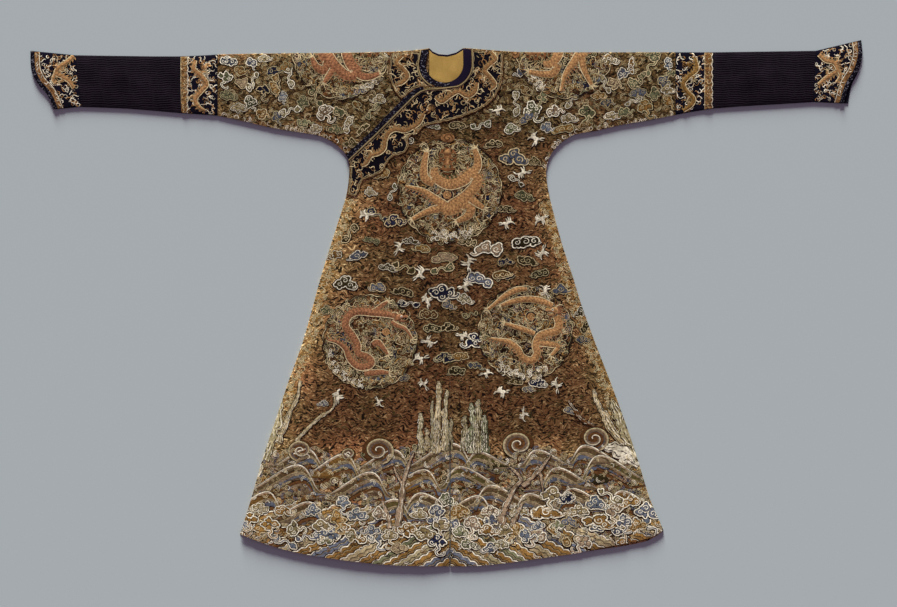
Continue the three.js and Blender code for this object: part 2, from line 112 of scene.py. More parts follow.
def smooth(points: Sequence[Sequence[float]], steps: int = 6) -> Array:
    """A smooth line through points (Catmull-Rom, with the ends doubled).

    Args:
        points: Rows of numbers; the first two are x and y, and any others are carried along.
        steps: Steps between each two points.

    Returns:
        The line, (steps * (n - 1) + 1, width of a row).
    """
    rows = np.asarray(points, float)
    p = np.vstack([2 * rows[0] - rows[1], rows, 2 * rows[-1] - rows[-2]])
    t = np.linspace(0, 1, steps, endpoint=False)[None, :, None]
    a, b, c, d = (p[i : len(p) - 3 + i, None, :] for i in range(4))
    curve = 0.5 * (
        2 * b + (c - a) * t + (2 * a - 5 * b + 4 * c - d) * t**2 + (3 * b - a - 3 * c + d) * t**3
    )
    return np.vstack([curve.reshape(-1, rows.shape[1]), rows[-1]])


def normals(line: Array) -> Array:
    """Unit normals to the left of travel, for lines (..., n, 2)."""
    along = np.gradient(line, axis=-2)
    along /= np.maximum(np.linalg.norm(along, axis=-1, keepdims=True), 1e-12)
    return crosswise(along)


def crosswise(ways: Array) -> Array:
    """Vectors (..., 2) turned a quarter turn to the left."""
    return np.stack([-ways[..., 1], ways[..., 0]], -1)


def heading(angle: Array) -> Array:
    """Unit vectors (..., 2) at angles in radians."""
    return np.stack([np.cos(angle), np.sin(angle)], -1)


def circle(count: int, radius: float = 1, squash: float = 1) -> Array:
    """Points round an ellipse, (count, 2), anticlockwise."""
    a = np.linspace(0, 2 * math.pi, count, endpoint=False)
    return np.column_stack([radius * np.cos(a), radius * squash * np.sin(a)])


@dataclass
class Patch:
    """Triangles in plan: thread, shade and height of each corner.

    Attributes:
        xy: Corners, (n, 2).
        rise: Height of each corner above its cloth, metres, (n,).
        shade: From 0, the thread's dark shade, to 1, its light one, (n,).
        thread: Row of each corner's thread, (n,).
        faces: Corner numbers, (m, 3).
    """

    xy: Array
    rise: Array
    shade: Array
    thread: Array
    faces: Array

    def moved(self, x: float, y: float, size: float = 1, turn: float = 0, flip: bool = False) -> "Patch":
        """A copy put somewhere else.

        Args:
            x: Where its origin goes.
            y: Where its origin goes.
            size: Metres for each of its units; the height stays as it is.
            turn: Degrees, anticlockwise.
            flip: Whether left and right change places first.

        Returns:
            The moved copy.
        """
        c, s = math.cos(math.radians(turn)) * size, math.sin(math.radians(turn)) * size
        xy = self.xy * ((-1, 1) if flip else (1, 1)) @ np.array([[c, s], [-s, c]])
        return replace(self, xy=xy + (x, y))

    def raised(self, height: float) -> "Patch":
        """A copy lifted by a height in mm."""
        return replace(self, rise=self.rise + height * MM)


NOTHING = Patch(np.zeros((0, 2)), np.zeros(0), np.zeros(0), np.zeros(0, int), np.zeros((0, 3), int))


def merged(patches: Iterable[Patch]) -> Patch:
    """All patches as one."""
    held = [p for p in patches if len(p.faces)] or [NOTHING]
    start = np.cumsum([0, *(len(p.xy) for p in held)])
    names = ("xy", "rise", "shade", "thread")
    columns = (np.concatenate([getattr(p, name) for p in held]) for name in names)
    return Patch(*columns, np.concatenate([p.faces + s for p, s in zip(held, start)]))


def on_grid(xy: Array, high: float | Array, shade: float | Array, thread: Thread, faces: Array) -> Patch:
    """A patch of one thread, with heights in mm and shades spread over its corners (..., 2)."""
    rise, tint = (np.broadcast_to(value, xy.shape[:-1]).reshape(-1) for value in (high, shade))
    return Patch(xy.reshape(-1, 2), rise * MM, tint, np.full(len(rise), THREAD_ROW[thread]), faces)


def repeated(faces: Array, count: int, corners: int) -> Array:
    """Faces (m, 3) of one part, for count such parts of so many corners each."""
    return (faces[None] + (np.arange(count) * corners)[:, None, None]).reshape(-1, 3)


def strip_faces(count: int, length: int, rows: int, closed: bool = False) -> Array:
    """Triangles of count strips, each a grid of length by rows corners, closed lengthwise or not."""
    i = np.arange(length if closed else length - 1)[:, None]
    j = np.arange(rows - 1)[None, :]
    a = i * rows + j
    b = (i + 1) % length * rows + j
    return repeated(np.stack([a, b, b + 1, a, b + 1, a + 1], -1).reshape(-1, 3), count, length * rows)


def ribbon(
    line: Array,
    width: float | Array,
    thread: Thread,
    shade: float | Array,
    rise: float,
    crown: float,
    rows: int,
    closed: bool = False,
) -> Patch:
    """Lines of thread: each a band along its path, higher in the middle than at its edges.

    The corners are path + normal * width * s for s from -1/2 to 1/2, at the height
    rise + crown * (1 - 4 s^2).

    Args:
        line: Paths, (n, 2) or (k, n, 2).
        width: Width, one number or one for each point.
        thread: The thread.
        shade: Shade, one number or one for each point.
        rise: Height of the edges above the cloth, mm.
        crown: How much higher the middle is, mm.
        rows: Corners across, at least 2.
        closed: Whether each path's end joins its start.

    Returns:
        The patch.
    """
    paths = line if line.ndim == 3 else line[None]
    ring = np.concatenate([paths[:, -1:], paths, paths[:, :1]], 1)
    side = normals(ring)[:, 1:-1] if closed else normals(paths)
    s = np.linspace(-0.5, 0.5, rows)
    wide, tint = (np.broadcast_to(value, paths.shape[:2])[..., None] for value in (width, shade))
    xy = paths[:, :, None] + side[:, :, None] * (wide * s)[..., None]
    high = rise + (crown * (1 - 4 * s**2) if rows > 2 else crown / 2)
    return on_grid(xy, high, tint, thread, strip_faces(*paths.shape[:2], rows, closed))


def plate(
    outline: Array,
    thread: Thread,
    rim: float,
    core: float,
    rise: float,
    crown: float,
    inset: float,
    centre: tuple[float, float] | None = None,
) -> Patch:
    """A filled shape that is seen whole from its centre, shaded from its rim to its core.

    The corners are centre + t (outline - centre) for t = 1, inset and 0.06, at the heights rise,
    rise + crown and rise + crown.

    Args:
        outline: Closed outline without its last point, (n, 2).
        thread: The thread.
        rim: Shade at the outline.
        core: Shade at the centre.
        rise: Height of the rim, mm.
        crown: How much higher the inside is, mm.
        inset: Where the inner ring lies, from 0, the centre, to 1, the rim.
        centre: The centre, or none for the mean of the outline.

    Returns:
        The patch.
    """
    middle = outline.mean(0) if centre is None else np.array(centre)
    t = np.array([1.0, inset, 0.06])
    xy = middle + (outline - middle)[:, None] * t[:, None]
    inner = np.arange(1, len(outline) - 1)[:, None] * 3 + 2
    cap = np.concatenate([np.full_like(inner, 2), inner, inner + 3], 1)
    faces = np.concatenate([strip_faces(1, len(outline), 3, closed=True), cap])
    return on_grid(xy, rise + crown * np.array([0, 1, 1]), (rim, (rim + core) / 2, core), thread, faces)


def discs(
    at: Array, radius: Array, thread: Thread, shade: float, rise: float, dome: float = 0
) -> Patch:
    """Small rounds of thread, each a fan of twelve triangles about a raised middle.

    Args:
        at: Middles, (k, 2).
        radius: Radii, (k,).
        thread: The thread.
        shade: Shade at the rim; the middle is 0.25 darker where it is domed.
        rise: Height of the rim, mm.
        dome: How much higher the middle is, mm.

    Returns:
        The patch.
    """
    ring = np.vstack([[(0, 0)], circle(12)])
    middle = np.arange(13) == 0
    i = np.arange(12)
    fan = np.column_stack([np.zeros(12, int), 1 + i, 1 + (i + 1) % 12])
    xy = at[:, None] + radius[:, None, None] * ring
    high, tint = rise + dome * middle, shade - 0.25 * (dome > 0) * middle
    return on_grid(xy, high, tint, thread, repeated(fan, len(at), 13))


def facing_up(patch: Patch) -> Patch:
    """The patch with every face turned upwards and slivers left out."""
    a, b, c = (patch.xy[patch.faces[:, i]] for i in range(3))
    turn = (b[:, 0] - a[:, 0]) * (c[:, 1] - a[:, 1]) - (b[:, 1] - a[:, 1]) * (c[:, 0] - a[:, 0])
    faces = np.where((turn < 0)[:, None], patch.faces[:, ::-1], patch.faces)
    return replace(patch, faces=faces[np.abs(turn) > 1e-11])


def clipped(patch: Patch, inside: Field) -> Patch:
    """The part of a patch where a distance field is negative.

    A face that crosses the zero line is cut there, at the point of each crossed side where the
    field, taken as straight along the side, is zero.

    Args:
        patch: The patch.
        inside: The field.

    Returns:
        The clipped patch.
    """
    d = inside(patch.xy)
    out = d[patch.faces] > 0
    whole = patch.faces[~out.any(1)]
    cut = patch.faces[out.any(1) & ~out.all(1)]
    if not len(cut):
        return compact(patch, whole)
    # Each cut face is turned so that its lone corner, in or out, comes first.
    lone_out = (d[cut] > 0).sum(1) == 1
    lone = np.where(lone_out[:, None], d[cut] > 0, d[cut] <= 0).argmax(1)
    order = (lone[:, None] + np.arange(3)) % 3
    a, b, c = np.take_along_axis(cut, order, 1).T
    columns = np.column_stack([patch.xy, patch.rise, patch.shade])
    new = [columns[a] + (columns[end] - columns[a]) * (d[a] / (d[a] - d[end]))[:, None] for end in (b, c)]
    nb = len(patch.xy) + np.arange(len(cut))
    nc = nb + len(cut)
    tips = np.column_stack([a, nb, nc])[~lone_out]
    first = np.column_stack([nb, b, c])[lone_out]
    second = np.column_stack([nb, c, nc])[lone_out]
    table = np.vstack([columns, *new])
    thread = np.concatenate([patch.thread, patch.thread[a], patch.thread[a]])
    made = Patch(table[:, :2], table[:, 2], table[:, 3], thread, patch.faces)
    return compact(made, np.concatenate([whole, tips, first, second]))


def compact(patch: Patch, faces: Array) -> Patch:
    """A patch of some faces only, without the corners that they don't use."""
    used, index = np.unique(faces, return_inverse=True)
    columns = (values[used] for values in (patch.xy, patch.rise, patch.shade, patch.thread))
    return Patch(*columns, index.reshape(-1, 3))


# ---------------------------------------------------------------- the cloth in plan


class Outline:
    """Signed distance to the edge of a flat piece, negative inside, read from a fine grid."""

    MARGIN = 30 * MM  # how far the grid reaches past the piece

    def __init__(self, ends: Array, step: float = 3 * MM, within: Field | None = None) -> None:
        """Works the grid out.

        The distance of a point is its least distance to any edge. Unless within says so, it is
        inside when a ray along +X crosses the edges an odd number of times.

        Args:
            ends: Both ends of every edge, (n, 2, 2), in any order.
            step: Grid step.
            within: Says of points whether they are inside, where the edges have gaps.
        """
        self.ends = ends
        self.step = step
        self.within = within
        self.low = ends.reshape(-1, 2).min(0) - self.MARGIN
        size = np.ceil((ends.reshape(-1, 2).max(0) + self.MARGIN - self.low) / step).astype(int) + 1
        x, y = (self.low[i] + np.arange(size[i]) * step for i in range(2))
        grid = np.stack(np.meshgrid(x, y, indexing="ij"), -1).reshape(-1, 2)
        parts = [self.exact(part) for part in np.array_split(grid, max(1, len(grid) // 4000))]
        self.grid = np.concatenate(parts).reshape(size)

    def exact(self, points: Array) -> Array:
        """Signed distances straight from the edges."""
        a, b = self.ends[:, 0], self.ends[:, 1]
        along = b - a
        rel = points[:, None] - a
        t = ((rel * along).sum(-1) / np.maximum((along**2).sum(-1), 1e-18)).clip(0, 1)
        away = np.sqrt((((rel - t[..., None] * along) ** 2).sum(-1)).min(1))
        if self.within is not None:
            return np.where(self.within(points), -away, away)
        spans = (a[:, 1] > points[:, 1:]) != (b[:, 1] > points[:, 1:])
        rate = along[:, 0] / np.where(along[:, 1] == 0, 1e-18, along[:, 1])
        right = points[:, :1] < a[:, 0] + (points[:, 1:] - a[:, 1]) * rate
        return np.where((spans & right).sum(1) % 2 == 1, -away, away)

    def __call__(self, points: Array) -> Array:
        """Signed distances at points (n, 2), between the grid's corners in proportion."""
        at = (points - self.low) / self.step
        last = np.array(self.grid.shape) - 2
        cell = np.clip(np.floor(at).astype(int), 0, last)
        fx, fy = np.clip(at - cell, 0, 1).T
        x, y = cell.T
        g = self.grid
        near = g[x, y] * (1 - fy) + g[x, y + 1] * fy
        far = g[x + 1, y] * (1 - fy) + g[x + 1, y + 1] * fy
        beyond = np.abs(at - np.clip(at, 0, last + 1)).max(1) * self.step
        return near * (1 - fx) + far * fx + beyond


def corners_of(mesh: bpy.types.Mesh) -> Array:
    """A mesh's corners, (n, 3)."""
    co = np.empty(len(mesh.vertices) * 3, np.float32)
    mesh.vertices.foreach_get("co", co)
    return co.reshape(-1, 3).astype(float)


def top_faces(node: str, above: float, level: float = 0.9) -> tuple[Array, Array]:
    """Corners and upward faces of a frame node that lie above a height.

    Args:
        node: Name of the node.
        above: Least height of a face's middle.
        level: Least Z of a face's unit normal.

    Returns:
        Corners (n, 3), with doubles merged, and faces (m, 3).
    """
    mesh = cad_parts[node].data
    co, index = np.unique(corners_of(mesh).round(6), axis=0, return_inverse=True)
    mesh.calc_loop_triangles()
    tri = np.empty(len(mesh.loop_triangles) * 3, np.int32)
    mesh.loop_triangles.foreach_get("vertices", tri)
    tri = index.reshape(-1)[tri].reshape(-1, 3)
    a, b, c = (co[tri[:, i]] for i in range(3))
    normal = np.cross(b - a, c - a)
    normal /= np.maximum(np.linalg.norm(normal, axis=1, keepdims=True), 1e-18)
    middle = (a + b + c)[:, 2] / 3
    return co, tri[(normal[:, 2] > level) & (middle > above)]


def rim_of(faces: Array) -> Array:
    """Sides that only one face has, (n, 2)."""
    sides = np.concatenate([faces[:, [0, 1]], faces[:, [1, 2]], faces[:, [2, 0]]])
    _, first, count = np.unique(np.sort(sides, 1), axis=0, return_index=True, return_counts=True)
    return sides[first[count == 1]]


# ---------------------------------------------------------------- how the cloth lies


@dataclass(frozen=True)
class Crease:
    """A soft ridge, or a trough where its height is negative, along a line.

    Attributes:
        start: One end in plan.
        end: The other end.
        width: From its middle to where it has nearly died away.
        height: At its middle, mm.
    """

    start: tuple[float, float]
    end: tuple[float, float]
    width: float
    height: float

    def lift(self, points: Array) -> Array:
        """Height in mm at points (n, 2).

        With t along the crease and d across it, measured from a line that bends by 0.06 of its
        length, the height is height * exp(-(2 d / width)^2) * sin(pi t)^0.7.
        """
        a, b = np.array(self.start), np.array(self.end)
        along = b - a
        length = np.linalg.norm(along)
        rel = points - a
        t = (rel @ along / length**2).clip(0, 1)
        bend = 0.06 * length * np.sin(math.pi * t * 1.6)
        d = rel @ np.array([-along[1], along[0]]) / length - bend
        return self.height * np.exp(-((2 * d / self.width) ** 2)) * np.sin(math.pi * t) ** 0.7


class Drape:
    """How far the upper layers lie above their solids: loft that dies away at the closed edges."""

    LOFT = 2.4  # mm
    EDGE = 16 * MM  # how far in from the edge most of the loft is reached
    CREASES = (
        Crease((-0.30, 0.47), (-0.06, 0.20), 0.075, 1.7),
        Crease((-0.27, 0.40), (-0.13, 0.05), 0.080, -1.3),
        Crease((0.31, 0.47), (0.10, 0.22), 0.080, 1.5),
        Crease((0.28, 0.38), (0.17, 0.02), 0.070, -1.2),
        Crease((-0.34, 0.60), (-0.20, 0.44), 0.070, 1.2),
        Crease((0.36, 0.61), (0.22, 0.45), 0.070, 1.3),
        Crease((-0.31, 0.10), (-0.44, -0.46), 0.090, 2.0),
        Crease((-0.25, -0.02), (-0.33, -0.60), 0.085, -1.5),
        Crease((-0.16, 0.02), (-0.20, -0.62), 0.110, 1.6),
        Crease((-0.06, -0.16), (-0.08, -0.68), 0.080, -1.2),
        Crease((0.06, -0.10), (0.07, -0.67), 0.090, 1.3),
        Crease((0.15, 0.03), (0.19, -0.58), 0.100, -1.4),
        Crease((0.24, -0.06), (0.32, -0.66), 0.095, 1.8),
        Crease((0.33, 0.02), (0.46, -0.52), 0.080, -1.3),
        Crease((0.39, -0.14), (0.53, -0.60), 0.075, 1.6),
        Crease((-0.95, 0.62), (-0.74, 0.57), 0.055, 1.0),
        Crease((-0.72, 0.63), (-0.45, 0.56), 0.060, 1.0),
        Crease((0.45, 0.57), (0.71, 0.63), 0.060, 1.1),
        Crease((0.74, 0.58), (0.97, 0.63), 0.055, 0.9),
        Crease((-0.10, 0.30), (0.14, 0.34), 0.110, 0.9),
    )
    # Waves of the open hem: the x of each, its width, and its height in mm.
    HEM_LIFTS = (
        (-0.50, 0.09, 1.6), (-0.25, 0.10, 1.0), (0.22, 0.12, 1.3), (0.44, 0.07, 2.4), (0.54, 0.05, 2.0),
    )

    def __init__(self, silhouette: Outline) -> None:
        """Keeps the robe's outline, where its two sides are closed."""
        self.silhouette = silhouette

    def lift(self, points: Array) -> Array:
        """Height in metres added at points (n, 2).

        It is the loft, a slow swell, the creases and the hem's waves, each exp(-(2 dx / width)^2),
        times 1 - exp(-depth / EDGE) for the depth inside the outline. At the rim 0.15 of it is
        left, and 0.3 more along the open hem.
        """
        depth = np.maximum(-self.silhouette(points), 0)
        open_end = np.clip((-0.52 - points[:, 1]) / 0.10, 0, 1)
        edge = 1 - np.exp(-depth / self.EDGE)
        edge = edge + (1 - edge) * (open_end * 0.3 + 0.15)
        waves = sum(crease.lift(points) for crease in self.CREASES)
        for x, width, height in self.HEM_LIFTS:
            waves = waves + height * open_end * np.exp(-((2 * (points[:, 0] - x) / width) ** 2))
        swell = 0.5 * np.sin(9 * points[:, 0] + 3) * np.sin(8 * points[:, 1] + 1)
        return np.maximum(self.LOFT + swell + waves, 0.2) * edge * MM


class Cloth:
    """The upper side of one piece of the frame: where it is, how high, and what covers it."""

    COVERED = 0.4 * MM  # how far figures stay from a piece that lies on top

    def __init__(self, node: str, above: float) -> None:
        """Reads the piece from the frame.

        Args:
            node: Name of the frame's node.
            above: Faces lower than this aren't its upper side.
        """
        self.node = node
        self.corners, faces = top_faces(node, above)
        self.outline = Outline(self.corners[rim_of(faces)][:, :, :2])
        self.covers: list[Cloth] = []
        self.drape: Drape | None = None
        _, flat = top_faces(node, above, level=0.998)
        self.profile = np.unique(self.corners[np.unique(flat)][:, [0, 2]].round(4), axis=0)

    def free(self, points: Array) -> Array:
        """Signed distance to the part that nothing covers, at points (n, 2)."""
        d = self.outline(points)
        for cover in self.covers:
            d = np.maximum(d, self.COVERED - cover.outline(points))
        return d

    def height(self, points: Array) -> Array:
        """Height of the upper side at points (n, 2), with the drape."""
        flat = np.interp(points[:, 0], self.profile[:, 0], self.profile[:, 1])
        return flat + self.drape.lift(points)


def joined_outline(pieces: Sequence[Cloth]) -> Outline:
    """The outline of pieces that meet at seams.

    A side is left out if a point 1.2 mm outside its middle lies inside any piece, and a point is
    inside if it lies in a piece or within 0.6 mm of one.
    """
    kept = []
    for piece in pieces:
        ends = piece.outline.ends
        out = -crosswise(ends[:, 1] - ends[:, 0])
        out /= np.maximum(np.linalg.norm(out, axis=1, keepdims=True), 1e-12)
        middle = ends.mean(1)
        out *= np.where(piece.outline.exact(middle + out * 0.2 * MM) < 0, -1, 1)[:, None]
        spot = middle + out * 1.2 * MM
        joined = np.any([other.outline.exact(spot) < 0 for other in pieces], axis=0)
        kept.append(ends[~joined])

    def within(points: Array) -> Array:
        """Whether points are in the joined pieces."""
        return np.min([piece.outline(points) for piece in pieces], axis=0) < 0.6 * MM

    return Outline(np.concatenate(kept), step=6 * MM, within=within)


# ---------------------------------------------------------------- meshes


def new_object(name: str, co: Array, faces: Array) -> Solid:
    """A smooth mesh object at the origin, linked to the scene, from corners (n, 3) and triangles (m, 3)."""
    mesh = bpy.data.meshes.new(name)
    mesh.vertices.add(len(co))
    mesh.vertices.foreach_set("co", co.astype(np.float32).ravel())
    mesh.loops.add(faces.size)
    mesh.loops.foreach_set("vertex_index", faces.astype(np.int32).ravel())
    mesh.polygons.add(len(faces))
    mesh.polygons.foreach_set("loop_start", np.arange(len(faces), dtype=np.int32) * 3)
    mesh.polygons.foreach_set("use_smooth", np.ones(len(faces), bool))
    mesh.update(calc_edges=True)
    mesh.validate()
    thing = bpy.data.objects.new(name, mesh)
    bpy.context.scene.collection.objects.link(thing)
    return thing


def fold_into(values: Array, period: float) -> Array:
    """Runs values up and down between 0 and 1, once each way over two periods."""
    return np.abs((values / period) % 2 - 1)


def bake_map(mesh: bpy.types.Mesh, places: Array, shift: Array | float = 0) -> None:
    """Gives a mesh a map, named OFBake, with a place for each corner's colour.

    Args:
        mesh: The mesh.
        places: Place on the map for each corner, (n, 2).
        shift: What is added across for each corner of each face.
    """
    index = np.empty(len(mesh.loops), np.int32)
    mesh.loops.foreach_get("vertex_index", index)
    uv = places[index]
    uv[:, 0] += shift
    layer = mesh.uv_layers.new(name="OFBake")
    layer.uv.foreach_set("vector", uv.astype(np.float32).ravel())


class Stitchwork:
    """Embroidered relief: patches laid on the cloths that carry them, one object on each."""

    CELLS = 4  # squares along a side of the map, one for each thread
    SPARE = 12  # fewer triangles than these on a cloth are left out

    def __init__(self, finish: Material, slot: str) -> None:
        """Keeps the thread's material and the record's slot for it."""
        self.finish = finish
        self.slot = slot
        self.made: dict[str, list[Solid]] = {}

    def lay(self, family: str, patches: Iterable[Patch], cloths: Sequence[Cloth]) -> None:
        """Lays patches on cloths, cut at each cloth's edge.

        Args:
            family: What the patches are, for the objects' names.
            patches: The patches, in place.
            cloths: The cloths.
        """
        whole = facing_up(merged(patches))
        for cloth in cloths:
            part = clipped(whole, cloth.free)
            if len(part.faces) < self.SPARE:
                continue
            co = np.column_stack([part.xy, cloth.height(part.xy) + part.rise])
            thing = new_object(f"{cloth.node}_{family}", co, part.faces)
            self.colour(thing.data, part)
            thing.data.materials.append(self.finish)
            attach(thing, "root")
            self.made.setdefault(cloth.node, []).append(thing)
            log.info("%s: %d triangles", thing.name, len(part.faces))

    def colour(self, mesh: bpy.types.Mesh, part: Patch) -> None:
        """Writes each corner's colour, and its place on the map: up its thread's square by its shade."""
        dark, light = SHADES[part.thread, 0], SHADES[part.thread, 1]
        rgb = dark + (light - dark) * part.shade[:, None].clip(0, 1.2)
        rgba = np.column_stack([rgb, np.ones(len(rgb))]).astype(np.float32)
        mesh.color_attributes.new("Thread", "FLOAT_COLOR", "POINT").data.foreach_set("color", rgba.ravel())
        across = fold_into(part.xy[:, 0] + 0.3 * part.xy[:, 1], 0.31)
        up = 0.8 * part.shade.clip(0, 1) + 0.2 * fold_into(part.xy[:, 1], 0.023)
        cell = np.column_stack([part.thread % self.CELLS, part.thread // self.CELLS])
        bake_map(mesh, (cell + 0.06 + 0.88 * np.column_stack([across, up])) / self.CELLS)


def lifted(mesh: bpy.types.Mesh, change: Callable[[Array], Array]) -> None:
    """Adds a height, in metres, to a mesh's corners, worked out from the corners (n, 3)."""
    co = corners_of(mesh)
    co[:, 2] += change(co)
    mesh.vertices.foreach_set("co", co.astype(np.float32).ravel())
    mesh.update()


def cloth_shell(name: str, node: str, cell: tuple[float, float], drape: Drape) -> Solid:
    """A fine shell of a frame node: the same walls and folds, cut into small faces and draped.

    The solid is cut by upright planes one cell apart, then each corner at height z is lifted by
    drape * smoothstep between the back's upper face and the front's lower face.

    Args:
        name: The shell's name.
        node: The frame's node.
        cell: Spacing of the planes across X and across Y.
        drape: How the upper layers lie.

    Returns:
        The shell.
    """
    bm = bmesh.new()
    bm.from_mesh(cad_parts[node].data)
    bmesh.ops.remove_doubles(bm, verts=bm.verts, dist=2e-6)
    bmesh.ops.dissolve_limit(
        bm, angle_limit=math.radians(0.4), verts=bm.verts, edges=bm.edges, delimit={"NORMAL"}
    )
    low, high = (np.array(corner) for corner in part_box(node))
    for axis in (0, 1):
        count = int((high[axis] - low[axis]) / cell[axis])
        gap = (high[axis] - low[axis]) / (count + 1)
        for i in range(1, count + 1):
            spot, facing = [0, 0, 0], [0, 0, 0]
            spot[axis], facing[axis] = low[axis] + gap * i, 1
            everything = [*bm.verts, *bm.edges, *bm.faces]
            bmesh.ops.bisect_plane(bm, geom=everything, dist=1e-6, plane_co=spot, plane_no=facing)
    bmesh.ops.triangulate(bm, faces=bm.faces, quad_method="SHORT_EDGE", ngon_method="BEAUTY")
    shell = bpy.data.objects.new(name, bpy.data.meshes.new(name))
    bm.to_mesh(shell.data)
    bm.free()
    bpy.context.scene.collection.objects.link(shell)

    def loft(co: Array) -> Array:
        """The drape at corners of the upper layers, and nothing at those of the back."""
        t = ((co[:, 2] - BACK_TOP) / (FRONT_LOW - BACK_TOP)).clip(0, 1)
        return drape.lift(co[:, :2]) * t * t * (3 - 2 * t)

    lifted(shell.data, loft)
    shell.data.polygons.foreach_set("use_smooth", np.ones(len(shell.data.polygons), bool))
    shell.data.set_sharp_from_angle(angle=math.radians(38))
    shell.data.update()
    return shell


# ---------------------------------------------------------------- node trees in few words


class Net:
    """Adds nodes to a tree and joins them."""

    def __init__(self, tree: Tree) -> None:
        """Keeps the tree."""
        self.tree = tree

    def add(self, kind: str, inputs: dict | None = None, **settings) -> bpy.types.Node:
        """Adds a node.

        Args:
            kind: Its type, without the leading ShaderNode.
            inputs: A value, or a socket to join, for each input by name or number.
            **settings: The node's own properties.

        Returns:
            The node.
        """
        node = self.tree.nodes.new(kind if kind.startswith("Node") else f"ShaderNode{kind}")
        for key, value in settings.items():
            setattr(node, key, value)
        for key, value in (inputs or {}).items():
            if isinstance(value, Socket):
                self.join(value, node.inputs[key])
            else:
                node.inputs[key].default_value = value
        return node

    def join(self, source: Socket, target: Socket) -> None:
        """Joins an output to an input."""
        self.tree.links.new(source, target)

    def maths(self, operation: str, *values) -> Socket:
        """Result of a Math node on numbers or sockets."""
        return self.add("Math", dict(enumerate(values)), operation=operation).outputs[0]

    def mix(self, factor: Socket | float, first: Colour, second: Colour, blend: str = "MIX") -> Socket:
        """Colour mixed from two colours."""
        inputs = {"Factor": factor, 6: first, 7: second}
        node = self.add("Mix", inputs, data_type="RGBA", blend_type=blend, clamp_factor=True)
        return node.outputs[2]

    def shaded(self, colour: Socket, shade: Socket) -> Socket:
        """A colour times a number."""
        grey = self.add("CombineColor", {i: shade for i in range(3)}).outputs[0]
        return self.mix(1.0, colour, grey, "MULTIPLY")

    def noise(self, at: Socket, scale: float = 1, detail: float = 2, rough: float = 0.5) -> Socket:
        """Noise from 0 to 1 at a place."""
        inputs = {"Vector": at, "Scale": scale, "Detail": detail, "Roughness": rough}
        return self.add("TexNoise", inputs).outputs["Fac"]

    def place(
        self, stretch: Sequence[float], at: Socket | None = None, shift: Sequence[float] = (0, 0, 0)
    ) -> Socket:
        """Object coordinates, or a place, stretched and shifted."""
        inputs = {"Vector": at or self.here(), "Scale": stretch, "Location": shift}
        return self.add("Mapping", inputs).outputs[0]

    def here(self) -> Socket:
        """Object coordinates."""
        return self.add("TexCoord").outputs["Object"]

    def group(self, tree: Tree, values: dict) -> bpy.types.Node:
        """A node group with its inputs."""
        node = self.add("Group", node_tree=tree)
        for key, value in values.items():
            node.inputs[key].default_value = value
        return node

    def ramp(self, value: Socket, stops: Sequence[float], codes: Sequence[str]) -> Socket:
        """Colour from a ramp: a hex colour at each stop."""
        node = self.add("ValToRGB", {"Fac": value})
        elements = node.color_ramp.elements
        while len(elements) < len(stops):
            elements.new(1.0)
        for element, position, code in zip(elements, stops, codes):
            element.position, element.color = position, (*linear(code), 1)
        return node.outputs["Color"]


def node_group(name: str, takes: dict[str, float], gives: tuple[str, str]) -> tuple:
    """A new shader node group.

    Args:
        name: Its name.
        takes: Number inputs and their usual values.
        gives: Number outputs.

    Returns:
        The group's net, its input sockets and its output node.
    """
    tree = bpy.data.node_groups.new(name, "ShaderNodeTree")
    for title, value in takes.items():
        tree.interface.new_socket(title, in_out="INPUT", socket_type="NodeSocketFloat").default_value = value
    for title in gives:
        tree.interface.new_socket(title, in_out="OUTPUT", socket_type="NodeSocketFloat")
    net = Net(tree)
    return net, net.add("NodeGroupInput").outputs, net.add("NodeGroupOutput")


def weave_group() -> Tree:
    """Woven threads: wefts along X and warps along Y, uneven, with flecks where a thread is worn.

    Shade is about 1 and multiplies a colour: painted shade, darker in the grooves between threads
    where Height is low, with the worn flecks; Height is from 0 to 1.
    """
    takes = {"Weft pitch": 1.1 * MM, "Warp pitch": 0.8 * MM, "Strength": 0.25, "Flecks": 0.2}
    net, given, made = node_group("Weave", takes, ("Shade", "Height"))
    at = net.here()
    wander = net.noise(net.place((30, 30, 30), at))
    split = net.add("SeparateXYZ", {0: at})
    waves = []
    for axis, pitch in ((1, "Weft pitch"), (0, "Warp pitch")):
        run = net.maths("DIVIDE", split.outputs[axis], given[pitch])
        run = net.maths("MULTIPLY_ADD", wander, 1.5, run)
        waves.append(net.maths("SINE", net.maths("MULTIPLY", run, 2 * math.pi)))
    height = net.maths("MULTIPLY_ADD", net.maths("MULTIPLY", *waves), 0.25, 0.5)
    height = net.maths("MULTIPLY_ADD", waves[0], 0.25, height)
    fleck = net.noise(net.place((420, 900, 500), at), detail=1)
    fleck = net.maths("MULTIPLY", net.maths("SUBTRACT", fleck, 0.5), given["Flecks"])
    # Painted shade: the colour is darker where the weave's height is low, in its grooves.
    shade = net.maths("MULTIPLY", net.maths("SUBTRACT", height, 0.5), given["Strength"])
    shade = net.maths("ADD", net.maths("MULTIPLY_ADD", fleck, 2.0, shade), 1.0)
    net.join(shade, made.inputs["Shade"])
    net.join(height, made.inputs["Height"])
    return net.tree


def ageing_group() -> Tree:
    """Uneven fading: broad patches and small ones, as a Shade of about 1 and a Drift from 0 to 1."""
    takes = {"Patch size": 0.12, "Amount": 0.2}
    net, given, made = node_group("Ageing", takes, ("Shade", "Drift"))
    scale = net.maths("DIVIDE", 1.0, given["Patch size"])
    scaled = net.add("VectorMath", {0: net.here(), "Scale": scale}, operation="SCALE").outputs[0]
    broad, small = net.noise(scaled, 1.0, 4), net.noise(scaled, 7.0, 3)
    both = net.maths("MULTIPLY_ADD", broad, 0.65, net.maths("MULTIPLY", small, 0.35))
    amount = net.maths("MULTIPLY", given["Amount"], 4.0)
    shade = net.maths("MULTIPLY_ADD", net.maths("SUBTRACT", both, 0.5), amount, 1.0)
    net.join(shade, made.inputs["Shade"])
    net.join(broad, made.inputs["Drift"])
    return net.tree


